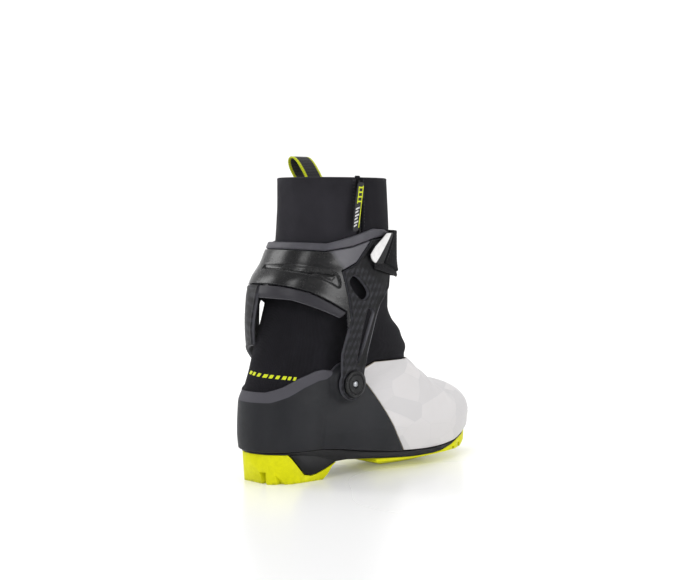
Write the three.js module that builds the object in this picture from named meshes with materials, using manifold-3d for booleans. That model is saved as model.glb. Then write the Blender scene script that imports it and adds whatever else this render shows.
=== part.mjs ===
// Cross-country skating boot for the right foot, about EU 42. Millimetres.
// While it is built, +X points to the toe, +Y to the inner side of the foot and +Z up, the floor is
// z = 0 and the heel is near x = 0. At the end the whole boot is moved so that it stands on the origin.
import * as THREE from "three";
import { mergeVertices } from "three/addons/utils/BufferGeometryUtils.js";
import Module from "manifold-3d";

const wasm = await Module();
wasm.setup();

// ---------------------------------------------------------------- driving dimensions
const TOE_TIP = 288; // front of the upper
const GAP = 0.4; // clearance left between touching pieces
const LINER = 3.2; // padded softshell wall
const SHELL = { inner: 0.5, outer: 2.6 }; // heel shell, measured out from the softshell
const COVER = { inner: -0.4, outer: 1.2 }; // forefoot cover
const VAMP = { inner: -7.2, outer: -4.4 }; // softshell under the forefoot cover
const EYESTAY = { inner: -4, outer: -3.2 };
const LACE = { level: -2, radius: 0.8, x: 198, pitch: 6, rows: 5 };
const PIVOT = { x: 85.5, z: 87.5 }; // ankle hinge axis, parallel to Y
const OUTER = -1; // the outer (lateral) side of a right boot lies at -Y
const INNER = 1;
const SIDES = [["lateral", OUTER], ["medial", INNER]];
const BOSS = { radius: 15, face: 44.6 };
const WASHER = { radius: 11, from: 45, to: 46.4 };
const RIVET = { shank: 4.5, head: 12.4, from: 50.8, to: 53.6 };
const NUT = { radius: 9, from: 38.6, to: 40.4 };
const SLEEVE = { low: 116, high: 196 }; // the stretch of softshell that bends with the ankle
const CUFF_WALL = 2.8;
const COLLAR = { low: 196.6, high: 275, wall: 3.4, seam: 100 };
const ZIP = { x: 99, tape: 3, teeth: 1.4, low: 206, high: 272 };
const TAG = { width: 8, from: 47.6, to: 49, top: 270.5, low: 225.5, lean: 10 };
const LOOP = { x0: 105, x1: 127, y: 41.3, thick: 1.5, lean: 0.4 };
// Layers over the cuff: patch, fuzzy backing and strap, measured out from the cuff's outer face.
const PATCH = { inner: 0.6, outer: 1.3 };
const BACKING = { inner: 1.8, outer: 2.8 };
const STRAP = {
  inner: 3.2,
  outer: 4.6,
  hinge: 132,
  rivet: { x: 118, z: 205, shank: 3, head: 5.5, from: 45, under: 52.4, to: 54 },
};
const WIDE = 70; // past the boot's side on either hand
const RIVET_DIMPLE = { radius: 3.4, depth: 1.2 };
const RIVET_GROOVE = { inner: 8.4, outer: 9.4, depth: 0.5 };
const TOE_DOME = 240; // from here the top of the toe rounds down
const SIDE_DRAW = 0.86; // the foot's side walls narrow to this share at the sole
const BOARD = { low: 0.9, high: 2.9 }; // above the feather line
const INSOLE = { low: 3.3, high: 7.3 };
const EYESTAY_STRIP = { near: 10, far: 21, middle: 1 }; // across the instep, either side of its middle

// ---------------------------------------------------------------- curves through stations
// A smooth monotone curve through [place, value] stations, flat beyond both ends.
function through(stations) {
  const last = stations.length - 1;
  const rate = (i) => (stations[i + 1][1] - stations[i][1]) / (stations[i + 1][0] - stations[i][0]);
  const slope = stations.map((_, i) => {
    if (i === 0 || i === last) return 0;
    const [left, right] = [rate(i - 1), rate(i)];
    return left * right <= 0 ? 0 : (2 * left * right) / (left + right);
  });
  return (place) => {
    if (place <= stations[0][0]) return stations[0][1];
    if (place >= stations[last][0]) return stations[last][1];
    let i = 0;
    while (place > stations[i + 1][0]) i += 1;
    const [[x0, y0], [x1, y1]] = [stations[i], stations[i + 1]];
    const h = x1 - x0;
    const t = (place - x0) / h;
    const rise = y0 * (1 + 2 * t) * (1 - t) ** 2 + y1 * t * t * (3 - 2 * t);
    return rise + h * t * (1 - t) * (slope[i] * (1 - t) - slope[i + 1] * t);
  };
}

const mix = (a, b, share) => a + (b - a) * share;
const spread = (from, to, steps) => Array.from({ length: steps + 1 }, (_, i) => mix(from, to, i / steps));
// The same, with the steps closing up towards the end.
const easeOut = (from, to, steps) =>
  spread(0, 1, steps).map((t) => mix(from, to, Math.sin((t * Math.PI) / 2)));

// ---------------------------------------------------------------- lines of the upper
// Leg and heel: back, front and half width by height.
const legBack = through([
  [10, 5], [45, 2.5], [72, 3.5], [87, 6], [100, 10], [126, 18], [142, 25], [162, 33],
  [195, 43], [227, 49], [275, 51],
]);
const legFront = through([
  [10, 100], [70, 120], [98, 188], [112, 193], [126, 187], [142, 172.5], [154, 165.5],
  [195, 163], [227, 161], [275, 159],
]);
const legHalf = through([
  [10, 31], [45, 36], [72, 37], [100, 36], [126, 36], [142, 37], [162, 40], [195, 42],
  [227, 44], [275, 43],
]);
// Foot: half widths, top and feather line by length.
const outerHalf = through([
  [44, 30], [70, 37.5], [100, 42], [150, 46], [190, 49], [215, 49], [240, 48], [262, 46],
  [286, 42],
]);
const innerHalf = through([
  [44, 30], [70, 36.5], [100, 40], [150, 44], [190, 47], [215, 47], [240, 44], [262, 41],
  [286, 38],
]);
const footTop = through([
  [40, 80], [100, 112], [150, 122], [180, 108], [198, 93], [219, 79], [240, 75], [262, 69],
  [286, 60],
]);
const featherZ = through([
  [0, 29.5], [30, 29], [60, 28.5], [80, 26.8], [110, 22.2], [165, 16.3], [195, 15.4],
  [231, 18], [247, 22.4], [262, 27], [288, 31],
]);
const toeSway = through([[130, 0], [200, 2], [286, 13]]); // the toe bends to the inner side
const WIDEST = 42; // height where the foot is widest
const FOOT_BACK = 44;
const TOE_ROUND = 222; // from here the plan closes towards the toe
const FULLNESS = { leg: 2.25, foot: 2.3, toe: 2.3, cuff: 2.5 };

// Cuff: back, front and half width of its outer face by height.
const CUFF_LEVELS = [66, 100, 122, 142, 165, 181, 196, 209, 236];
const cuffBack = through([
  [66, 24], [100, 24], [122, 16], [142, 14.5], [165, 16], [181, 21], [196, 32], [207, 38],
  [220, 45], [236, 49],
]);
const cuffFront = through([[66, 156], [165, 168], [196, 164], [236, 162.5]]);
const cuffHalf = through([[66, 50.4], [165, 50.4], [185, 49.5], [200, 47], [236, 46.6]]);

// ---------------------------------------------------------------- solids from rings, outlines and profiles
// A closed geometry from points and triangles, turned so that its faces point out.
function closed(points, index) {
  let volume = 0;
  for (let i = 0; i < index.length; i += 3) {
    const [a, b, c] = [points[index[i]], points[index[i + 1]], points[index[i + 2]]];
    volume += a.dot(new THREE.Vector3().crossVectors(b, c));
  }
  if (volume < 0) index.reverse();
  return new THREE.BufferGeometry().setFromPoints(points).setIndex(index);
}

// A closed geometry through rings with the same number of points, with a flat fan on each end.
function loft(rings) {
  const count = rings[0].length;
  const index = [];
  for (let r = 0; r + 1 < rings.length; r += 1) {
    for (let i = 0; i < count; i += 1) {
      const [a, b] = [r * count + i, r * count + ((i + 1) % count)];
      index.push(a, b, b + count, a, b + count, a + count);
    }
  }
  const last = (rings.length - 1) * count;
  for (let i = 1; i + 1 < count; i += 1) index.push(0, i + 1, i, last, last + i, last + i + 1);
  return closed(rings.flat(), index);
}

function solid(geometry) {
  const bare = geometry.clone();
  bare.deleteAttribute("normal");
  bare.deleteAttribute("uv");
  const merged = mergeVertices(bare, 1e-3);
  return new wasm.Manifold(
    new wasm.Mesh({
      numProp: 3,
      vertProperties: merged.attributes.position.array,
      triVerts: new Uint32Array(merged.index.array),
    }),
  );
}

function geometryOf(made) {
  const mesh = made.getMesh();
  return new THREE.BufferGeometry()
    .setAttribute("position", new THREE.BufferAttribute(mesh.vertProperties, 3))
    .setIndex(new THREE.BufferAttribute(mesh.triVerts, 1));
}

function box(x0, x1, y0, y1, z0, z1) {
  const made = new THREE.BoxGeometry(x1 - x0, y1 - y0, z1 - z0);
  return solid(made.translate((x0 + x1) / 2, (y0 + y1) / 2, (z0 + z1) / 2));
}

// A side-view outline of [x, z] points made solid between two places along Y.
function sidePlate(outline, y0, y1) {
  const shape = new THREE.Shape(outline.map(([x, z]) => new THREE.Vector2(x, z)));
  const plate = new THREE.ExtrudeGeometry(shape, { depth: y1 - y0, bevelEnabled: false });
  return solid(plate.rotateX(Math.PI / 2).translate(0, y1, 0));
}

// The same on one side of the boot, measured out from the middle plane.
const onSide = (outline, side, near, far) =>
  sidePlate(outline, Math.min(side * near, side * far), Math.max(side * near, side * far));

// A round bar along Y on one side of the boot.
function bar(x, z, radius, side, near, far, sides = 16) {
  const made = new THREE.CylinderGeometry(radius, radius, far - near, sides);
  return solid(made.translate(x, (side * (near + far)) / 2, z));
}

// Points on an arc in a side view, in degrees from +X towards +Z.
function arc(x, z, radius, from, to, steps) {
  return spread(from, to, steps).map((turn) => {
    const angle = THREE.MathUtils.degToRad(turn);
    return [x + radius * Math.cos(angle), z + radius * Math.sin(angle)];
  });
}

// A side-view outline smoothed through a few corner points.
function smooth(points, steps) {
  const curve = new THREE.CatmullRomCurve3(points.map(([x, z]) => new THREE.Vector3(x, 0, z)));
  return curve.getPoints(steps).map((p) => [p.x, p.z]);
}

// A band of even thickness along an open line of flat points, as one closed outline.
function ribbon(points, thickness) {
  const pushed = points.map(([a, b], i) => {
    const [from, to] = [points[Math.max(0, i - 1)], points[Math.min(points.length - 1, i + 1)]];
    const length = Math.hypot(to[0] - from[0], to[1] - from[1]);
    return [a - ((to[1] - from[1]) / length) * thickness, b + ((to[0] - from[0]) / length) * thickness];
  });
  return [...points, ...pushed.reverse()];
}

// ---------------------------------------------------------------- body of the upper
const bulge = (turn, power) => {
  const [c, s] = [Math.cos(turn), Math.sin(turn)];
  return [Math.sign(c) * Math.abs(c) ** (2 / power), Math.sign(s) * Math.abs(s) ** (2 / power)];
};

function oval(back, front, half, z, power, sides) {
  return spread(0, 2 * Math.PI, sides).slice(0, sides).map((turn) => {
    const [c, s] = bulge(turn, power);
    return new THREE.Vector3((back + front) / 2 + (c * (front - back)) / 2, s * half, z);
  });
}

const LEG_LEVELS = [8, 45, 72, 87, 100, 114, 128, 142, 162, 195, 227, 280];
const legLoft = (grow) =>
  loft(
    LEG_LEVELS.map((z) =>
      oval(legBack(z) - grow, legFront(z) + grow, legHalf(z) + grow, z, FULLNESS.leg, 22),
    ),
  );

function footLoft(grow) {
  const tip = TOE_TIP + grow;
  const stations = [...spread(FOOT_BACK, TOE_ROUND, 6), ...easeOut(TOE_ROUND, tip - 0.4, 6).slice(1)];
  const rings = stations.map((x) => {
    const close = Math.max(0, (x - TOE_ROUND) / (tip - TOE_ROUND));
    const plan = (1 - close ** FULLNESS.toe) ** (1 / FULLNESS.toe);
    const dome = (1 - Math.max(0, (x - TOE_DOME) / (tip - TOE_DOME)) ** 3) ** (1 / 3);
    const top = WIDEST + (footTop(x) + grow - WIDEST) * dome;
    const low = 8;
    const arch = spread(0, Math.PI, 12).map((turn) => {
      const [c, s] = bulge(turn, FULLNESS.foot);
      const half = ((c < 0 ? outerHalf(x) : innerHalf(x)) + grow) * plan;
      return new THREE.Vector3(x, toeSway(x) + c * half, WIDEST + s * (top - WIDEST));
    });
    const foot = [OUTER, INNER].map((side) => {
      const half = (side < 0 ? outerHalf(x) : innerHalf(x)) + grow;
      return new THREE.Vector3(x, toeSway(x) + side * half * plan * SIDE_DRAW, low);
    });
    return [...arch, ...foot];
  });
  return loft(rings);
}

const bodies = new Map();
// The whole upper as one form, grown outwards (or shrunk) all round.
function body(grow) {
  if (!bodies.has(grow)) bodies.set(grow, solid(legLoft(grow)).add(solid(footLoft(grow))));
  return bodies.get(grow);
}
const layer = (inner, outer) => body(outer).subtract(body(inner));
const cuffLoft = (grow) =>
  solid(
    loft(
      CUFF_LEVELS.map((z) =>
        oval(cuffBack(z) - grow, cuffFront(z) + grow, cuffHalf(z) + grow, z, FULLNESS.cuff, 30),
      ),
    ),
  );
const cuffLayer = (inner, outer) => cuffLoft(outer).subtract(cuffLoft(inner));

const feather = (from, to, lift, steps = 10) => spread(from, to, steps).map((x) => [x, featherZ(x) + lift]);

// ---------------------------------------------------------------- the boot
const boot = new THREE.Group();
const LOOKS = {
  charcoal: { color: 0x3a3b40, roughness: 0.6, metalness: 0 },
  black_fabric: { color: 0x17171b, roughness: 0.85, metalness: 0 },
  grey_softshell: { color: 0x36363b, roughness: 0.75, metalness: 0 },
  gloss_black: { color: 0x0c0c0e, roughness: 0.2, metalness: 0 },
  carbon: { color: 0x151517, roughness: 0.35, metalness: 0.1 },
  satin_trim: { color: 0x4a4a4e, roughness: 0.5, metalness: 0 },
  white: { color: 0xe2dedd, roughness: 0.55, metalness: 0 },
  lime: { color: 0xd3e000, roughness: 0.55, metalness: 0 },
  steel: { color: 0xb0b2b6, roughness: 0.3, metalness: 1 },
  fibre_board: { color: 0xb9a98a, roughness: 0.9, metalness: 0 },
};

function add(name, made, look) {
  const mesh = new THREE.Mesh(geometryOf(made), new THREE.MeshStandardMaterial(LOOKS[look]));
  mesh.name = name;
  boot.add(mesh);
}

// ---------------------------------------------------------------- sole
const soleOuter = through([
  [0, 30], [30, 33], [70, 35], [110, 38], [150, 44], [190, 48], [222, 47], [286, 43],
]);
const soleInner = through([
  [0, 30], [30, 32], [70, 32], [110, 32], [150, 38], [190, 44], [222, 44], [286, 39],
]);
const soleUnder = through([
  [0, 27.4], [30, 26.8], [60, 22], [80, 16.3], [96, 15.4], [116, 13.6], [150, 11.4],
  [175, 10.4], [206, 10.9], [221, 14], [236, 17.2], [249, 20.6], [262, 24.4], [288, 28.4],
]);
const HEEL_ROUND = 30;
const TREAD = { inset: 32, wing: 9.2 }; // the tread at the floor, and the height of its thin edge
const TOE_BAR = { z: 16.6, radius: 2 };

// The sole's plan outline as a level ring, moved in all round.
function soleRing(from, to, inset, z, steps = 13) {
  const half = (x, side) => (side < 0 ? soleOuter(x) : soleInner(x)) - inset;
  const heel = (x) => (from < 20 ? 1 - Math.max(0, 1 - (x - from - inset) / HEEL_ROUND) ** 2.4 : 1);
  const toe = (x) => (to > 250 ? 1 - Math.max(0, 1 - (to - inset - x) / (to - TOE_ROUND)) ** 2.4 : 1);
  return [OUTER, INNER].flatMap((side) => {
    const place = (t) => mix(from + inset, to - inset, (1 - Math.cos(t)) / 2);
    const stations = spread(0, Math.PI, steps).map(place);
    if (side === INNER) stations.reverse();
    return stations.map((x) => {
      const y = Math.max(0.6, half(x, side) * Math.sqrt(Math.max(0, heel(x) * toe(x))));
      return new THREE.Vector3(x, toeSway(x) + side * y, z);
    });
  });
}

// A solid over the plan outline, between two side-view lines that run along the sole.
function slab(from, to, draft, low, high) {
  const [deep, tall] = [-4, 50];
  const column = solid(loft([soleRing(from, to, draft, deep), soleRing(from, to, 0, tall)]));
  const stations = spread(-10, 296, 18);
  const under = stations.map((x) => [x, low(x)]);
  const over = stations.map((x) => [x, high(x)]).reverse();
  return column.intersect(sidePlate([...under, ...over], -WIDE, WIDE));
}

function sole() {
  // A spur of the frame runs down between the two feet of the heel rubber.
  const spur = [
    [26, 26.5], [28, 25], [43, 7.6], [50, 5.8], [56, 6.6], [66.5, 10], [78.5, 15.2],
    [94, 15.6], [94, 22],
  ];
  const spurRoom = [
    [24.6, 40], [24.6, 26.6], [42, 7], [50, 5.2], [56.5, 6], [67, 9.4], [79, 14.6], [92, 15],
    [120, 40],
  ];
  const plate = slab(4, 288, 1.5, soleUnder, (x) => featherZ(x) - GAP);
  const legs = slab(4.4, 112, 3, () => 0, (x) => featherZ(x) - GAP);
  add("sole_frame", plate.add(sidePlate(spur, -WIDE, WIDE).intersect(legs)), "charcoal");

  const heelSide = [[-5, 60], [2, 30], [12, -1], [63, -1], [70, 5], [74.5, 11.5], [80, 15.2], [90, 60]];
  let heel = slab(4, 112, 3, () => 0, (x) => soleUnder(x) - GAP).intersect(sidePlate(heelSide, -WIDE, WIDE));
  heel = heel.subtract(sidePlate(spurRoom, -WIDE, WIDE));
  for (const [, side] of SIDES) {
    heel = heel.subtract(onSide([[12, -2], [25, -2], [13, 13], [8, 13]], side, 22, 60));
    heel = heel.subtract(onSide([[26, -2], [60, -2], [60, 3], [26, 3]], side, 4, 10));
  }
  add("heel_rubber", heel.subtract(box(-5, 20, -15, -9, -2, 11)), "lime");

  // The forefoot rubber is thin at its edges and falls to a narrower tread in the middle.
  const tread = through([
    [124, 11], [134, 6], [144, 1], [150, 0], [200, 0], [216, 2.5], [236, 7], [255, 10.5],
    [286, 17],
  ]);
  const plan = [
    [TREAD.inset, 0], [2, TREAD.wing], [0, 50],
  ].map(([inset, z]) => soleRing(124, 287.5, inset, z));
  const stations = spread(120, 296, 14);
  const over = stations.map((x) => [x, soleUnder(x) - GAP]).reverse();
  const side = [...stations.map((x) => [x, tread(x)]), ...over];
  let forefoot = solid(loft(plan)).intersect(sidePlate(side, -WIDE, WIDE));
  for (const y of [-8, 8]) forefoot = forefoot.subtract(box(118, 262, y - 2, y + 2, -2, 3.4));
  for (const [x, top] of [[178, 7], [196, 7], [214, 8.5], [230, 12], [244, 14]]) {
    const groove = [[x, -2], [x + 4, -2], [x + 4, top], [x, top]];
    for (const [, inOrOut] of SIDES) forefoot = forefoot.subtract(onSide(groove, inOrOut, 20, 60));
  }
  // The binding's jaw reaches the steel bar through a slot in the toe.
  forefoot = forefoot.subtract(box(260, 276, -8, 24, -2, TOE_BAR.z + 3.2));
  const barAt = (radius) => bar(268, TOE_BAR.z, radius, INNER, -14, 30, 12);
  add("forefoot_rubber", forefoot.subtract(barAt(TOE_BAR.radius + GAP)), "lime");
  add("toe_bar", barAt(TOE_BAR.radius), "steel");
}

// ---------------------------------------------------------------- soft upper
// Rear and top edge of the forefoot cover, from the feather seam up and over the instep.
const COVER_EDGE = [
  [146, 35], [133, 55], [119, 75], [106.4, 93.4], [110, 98], [126, 103.4], [150, 103],
  [186, 102], [210, 103],
];

function softUpper() {
  const wall = layer(-LINER, 0);
  // The heel sock ends along the cover's edge, and the thinner vamp starts a little behind it.
  const seam = COVER_EDGE.map(([x, z], i) => (i < 4 ? [x - 1, z] : [x, z + 0.8]));
  const top = SLEEVE.low - 0.6;
  const sock = [[-20, 26], ...feather(0, 156, 0.4), ...seam, [215, top], [-20, top]];
  add("heel_sock", wall.intersect(sidePlate(sock, -WIDE, WIDE)), "black_fabric");
  const front = [...feather(150, 300, 0.4), [300, 140], [180, 110], [116, 106], [100, 90], [138, 35]];
  add("vamp", layer(VAMP.inner, VAMP.outer).intersect(sidePlate(front, -WIDE, WIDE)), "black_fabric");
  add("ankle_sleeve", wall.intersect(box(-20, 230, -70, 70, SLEEVE.low, SLEEVE.high)), "black_fabric");

  // The forefoot cover is held in the feather seam and rises to a high edge over the instep.
  const cover = [...feather(158.5, 292, 0.4, 12), [300, 60], [300, 120], ...COVER_EDGE.slice().reverse()];
  add("forefoot_cover", layer(COVER.inner, COVER.outer).intersect(sidePlate(cover, -WIDE, WIDE)), "white");

  const level = (low, high) =>
    sidePlate([...feather(-10, 290, low, 20), ...feather(-10, 290, high, 20).reverse()], -WIDE, WIDE);
  add("lasting_board", body(VAMP.inner - GAP).intersect(level(BOARD.low, BOARD.high)), "fibre_board");
  add("insole", body(VAMP.inner - 2 * GAP).intersect(level(INSOLE.low, INSOLE.high)), "black_fabric");
}

// ---------------------------------------------------------------- heel shell and ankle pivots
function heelShell() {
  const rim = [[-20, 83], [-2, 83], [10, 83], [22, 87], [37, 94], [54, 100], [62, 101]];
  const frontEdge = [[104, 93], [118, 75], [132, 55], [145, 35]];
  const roundPivot = arc(PIVOT.x, PIVOT.z, 19, 140, 25, 8);
  const outline = [...rim, ...roundPivot, ...frontEdge, ...feather(-20, 157.4, 0.4, 12).reverse()];
  let shell = layer(SHELL.inner, SHELL.outer).intersect(sidePlate(outline, -WIDE, WIDE));
  for (const [, side] of SIDES) {
    const boss = bar(PIVOT.x, PIVOT.z, BOSS.radius, side, 30, BOSS.face, 20).subtract(body(SHELL.inner));
    shell = shell.add(boss);
  }
  for (const [, side] of SIDES) {
    shell = shell.subtract(bar(PIVOT.x, PIVOT.z, RIVET.shank + GAP, side, 20, 60));
    shell = shell.subtract(bar(PIVOT.x, PIVOT.z, NUT.radius + GAP, side, 20, NUT.to + GAP));
  }
  add("heel_shell", shell, "charcoal");
}

function pivots() {
  for (const [name, side] of SIDES) {
    const shank = bar(PIVOT.x, PIVOT.z, RIVET.shank, side, NUT.from + 0.2, RIVET.from + 0.5);
    const head = bar(PIVOT.x, PIVOT.z, RIVET.head, side, RIVET.from, RIVET.to, 20);
    const at = (radius, near, far, sides) => bar(PIVOT.x, PIVOT.z, radius, side, near, far, sides);
    const dimple = at(RIVET_DIMPLE.radius, RIVET.to - RIVET_DIMPLE.depth, RIVET.to + 1, 10);
    const ring = at(RIVET_GROOVE.outer, RIVET.to - RIVET_GROOVE.depth, RIVET.to + 1);
    const groove = ring.subtract(at(RIVET_GROOVE.inner, RIVET.to - 1, RIVET.to + 2));
    add(`pivot_rivet_${name}`, shank.add(head).subtract(dimple).subtract(groove), "gloss_black");
    const bore = at(RIVET.shank + GAP, 30, 60);
    add(`pivot_washer_${name}`, at(WASHER.radius, WASHER.from, WASHER.to).subtract(bore), "satin_trim");
    add(`pivot_nut_${name}`, at(NUT.radius, NUT.from, NUT.to).subtract(bore), "steel");
  }
}

// ---------------------------------------------------------------- cuff
const LIP_TOP = [
  [-10, 222], [26, 219], [42, 217], [63, 215.5], [87, 221], [115, 228], [132, 227], [141, 223],
];
const LIP_LOW = [
  [-10, 215], [18, 213.5], [31, 211.5], [60, 208.5], [88, 212], [115, 219], [132, 221],
  [141, 220],
];
const BAND_TOP = [[-10, 182], [7, 181], [22, 178.5], [40, 172.5], [58, 163.5], [78, 153]];
const BAND_LOW = [[-10, 168], [7, 168], [26, 165.5], [51, 156], [71, 148]];
const lowered = (points, by) => points.map(([x, z]) => [x, z - by]);

// Side-view outline of a pivot arm: a lobe on the pivot, a leg with a long slot, and a fork at the top.
const LOBE = 15.2;
const armRear = [[72.5, 115], [83.5, 145], [80, 166], [74.5, 190]];
const armTop = [[93, 197], [113, 217.8], [128, 219], [137, 200], [139, 184]];
const armFront = [[136, 173], [121, 158], [115.5, 147], [104, 115]];
// The cuff shell stops short of the arms by this outline.
const forkRoom = [
  [73.9, 190.4],
  [92.6, 197.6],
  [114.5, 221],
  [160, 240],
  [160, 60],
  [60, 60],
  [72, 115],
  [83, 145],
  [79.5, 166],
];
const armOutline = [...arc(PIVOT.x, PIVOT.z, LOBE, 30, -210, 18), ...armRear, ...armTop, ...armFront];
const slot = [[89, 107.5], [91.5, 107.5], [110, 148], [111, 153], [106, 156], [102, 152]];
const keyWindow = [[84.5, 181.5], [89.5, 184.5], [103, 171], [100, 165.5], [94, 164.5]];
// The inner arm carries a side panel that reaches back to the heel, with a window behind the arm.
const PANEL_EDGE = 4; // its rear edge, off the middle plane
const windowRear = [[54, 161.6], [51.6, 157], [51, 131], [54, 114], [67, 100], [84, 92]];
const panelLow = [
  [78, 152.4],
  [74, 149.5],
  [70, 152.2],
  [62, 157],
  ...windowRear,
  [78, 79.6],
  [61, 88],
  [45, 101],
  [28, 114],
  [17, 122],
  [8, 130],
  [-10, 136],
];
const panel = [...lowered(BAND_TOP, GAP), ...panelLow.slice(1)];

const rivetHole = () => bar(STRAP.rivet.x, STRAP.rivet.z, STRAP.rivet.shank + GAP, INNER, 20, 80);

function cuff() {
  const wall = cuffLayer(-3, 0.2);
  const axle = (side) => bar(PIVOT.x, PIVOT.z, RIVET.shank + GAP, side, 20, WIDE);
  const arms = SIDES.map(([, side]) => {
    const full = wall.intersect(onSide(armOutline, side, 20, WIDE));
    const arm = full.subtract(onSide(slot, side, 10, 80)).subtract(onSide(keyWindow, side, 10, 80));
    const inner = wall.intersect(onSide(panel, side, PANEL_EDGE, WIDE)).subtract(body(GAP));
    const whole = side === INNER ? arm.add(inner) : arm;
    return whole.subtract(axle(side)).subtract(rivetHole());
  });
  SIDES.forEach(([name], i) => add(`arm_${name}`, arms[i], "carbon"));

  const armRoom = SIDES.map(([, side]) => onSide(forkRoom, side, 10, WIDE));
  const clear = (made) => armRoom.reduce((left, room) => left.subtract(room), made);
  const shellSide = [...lowered(LIP_LOW, GAP), [141, 60], [90, 60], ...BAND_TOP.slice().reverse()];
  let shell = clear(cuffLayer(-CUFF_WALL, 0).intersect(sidePlate(shellSide, -WIDE, WIDE)));
  const vent = [[28, 194.5], [67, 189.5], [67, 187], [30, 192]];
  shell = shell.subtract(onSide(vent, OUTER, 10, WIDE));
  add("cuff_shell", shell, "gloss_black");
  const band = sidePlate([...lowered(BAND_TOP, GAP), ...BAND_LOW.slice().reverse()], -WIDE, WIDE);
  const rim = cuffLayer(-3.4, -0.4).intersect(band).subtract(box(-20, 120, PANEL_EDGE - GAP, 70, 100, 200));
  add("cuff_lower_trim", clear(rim), "satin_trim");
  const lip = sidePlate([...LIP_TOP, ...LIP_LOW.slice().reverse()], -WIDE, WIDE);
  add("cuff_top_trim", cuffLayer(-2.4, 0).intersect(lip), "satin_trim");
}

// ---------------------------------------------------------------- collar, zip and pull loop
function collar() {
  const wall = layer(-COLLAR.wall, 0).intersect(box(-10, 200, -70, 70, COLLAR.low, COLLAR.high));
  const edge = ZIP.tape + GAP;
  const [seamGap, past, low, high] = [0.3, 0.1, 190, 280];
  const rear = wall
    .subtract(box(ZIP.x - edge, 220, -WIDE, past, low, high))
    .subtract(box(COLLAR.seam - seamGap, 220, 0, WIDE, low, high));
  const front = wall
    .subtract(box(-10, ZIP.x + edge, -WIDE, past, low, high))
    .subtract(box(-10, COLLAR.seam + seamGap, 0, WIDE, low, high));
  add("collar_rear", rear, "grey_softshell");
  add("collar_front", front, "black_fabric");
  const strip = (inner, outer, half, low, high) =>
    layer(inner, outer).intersect(box(ZIP.x - half, ZIP.x + half, -70, 0, low, high));
  add("zip_tape", strip(-2.6, -1.2, ZIP.tape, COLLAR.low, COLLAR.high + 1.4), "black_fabric");
  add("zip_teeth", strip(-0.7, 0.5, ZIP.teeth, ZIP.low, ZIP.high), "gloss_black");
  add("zip_slider", strip(0.9, 3, 3.4, 256, 270.5), "gloss_black");

  // The tag hangs a little to the rear.
  const [top, foot] = [ZIP.x - 3, ZIP.x - TAG.lean];
  const half = TAG.width / 2;
  const tagSide = [
    [top - half, TAG.top - 3],
    [top - half + 2, TAG.top],
    [top + half, TAG.top],
    [foot + half, TAG.low + 3],
    [foot + half - 2, TAG.low],
    [foot - half + 2, TAG.low],
    [foot - half, TAG.low + 4],
  ];
  add("zip_puller", onSide(tagSide, OUTER, TAG.from, TAG.to), "black_fabric");

  // The webbing stands over the collar's edge, one end sewn inside and one outside.
  const line = [
    [-5.5, 261], [-5.5, 269], [-5.4, 276], [-2.5, 285], [1, 292], [6, 295.5], [11, 293],
    [12.5, 287], [11, 280], [7.5, 273], [4.2, 267], [3.2, 261],
  ];
  const band = ribbon(smooth(line, 16), LOOP.thick);
  const webbing = new THREE.Shape(band.map(([y, z]) => new THREE.Vector2(y, z)));
  const length = LOOP.x1 - LOOP.x0;
  const loop = new THREE.ExtrudeGeometry(webbing, { depth: length, bevelEnabled: false });
  const shift = LOOP.x0 + LOOP.lean * 270;
  const standing = new THREE.Matrix4();
  standing.set(0, -LOOP.lean, 1, shift, 1, 0, 0, LOOP.y, 0, 1, 0, 0, 0, 0, 0, 1);
  loop.applyMatrix4(standing);
  add("pull_loop", solid(loop), "black_fabric");
}

// ---------------------------------------------------------------- strap over the front of the cuff
function strap() {
  const front = 190;
  const round = (points, inner, outer) => cuffLayer(inner, outer).intersect(points);
  const outerSide = [[112, 191], [150, 182], [front, 182], [front, 226], [129, 224], [110, 207]];
  const innerSide = [[STRAP.hinge, 186], [front, 182], [front, 226], [STRAP.hinge, 222]];
  const past = -0.5; // over the middle plane, so that the two sides join
  const backing = onSide(outerSide, OUTER, 0, WIDE).add(onSide(innerSide, INNER, past, WIDE));
  const outerMain = [[124, 196], [150, 187], [front, 187], [front, 226], [145, 226], [141, 224]];
  const innerMain = innerSide.map(([x, z]) => [x, z < 200 ? z + 5 : z]);
  const main = onSide(outerMain, OUTER, 0, WIDE).add(onSide(innerMain, INNER, past, WIDE));
  add("strap", round(main, STRAP.inner, STRAP.outer), "black_fabric");
  add("strap_backing", round(backing, BACKING.inner, BACKING.outer), "black_fabric");
  const tip = [
    [106, 203], [110, 197.5], [117.5, 194.5], [123.4, 196], [140.4, 224], [129, 223.6],
    [113, 212],
  ];
  add("strap_tip", round(onSide(tip, OUTER, 0, WIDE), STRAP.inner, STRAP.outer), "white");
  const patch = [[108, 199], [122, 190], [135, 187], [135, 205], [128, 216], [114, 216]];
  add("loop_patch", round(onSide(patch, OUTER, 10, WIDE), PATCH.inner, PATCH.outer), "black_fabric");
  const tab = [[108, 190], [STRAP.hinge - 0.8, 187], [STRAP.hinge - 0.8, 222], [108, 218]];
  const anchor = round(onSide(tab, INNER, 10, WIDE), BACKING.inner, STRAP.outer);
  add("strap_tab", anchor.subtract(rivetHole()), "black_fabric");
  const { x, z, shank, head, from, under, to } = STRAP.rivet;
  const capped = bar(x, z, shank, INNER, from, under + 0.6).add(bar(x, z, head, INNER, under, to));
  add("strap_rivet", capped, "gloss_black");
}

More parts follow.
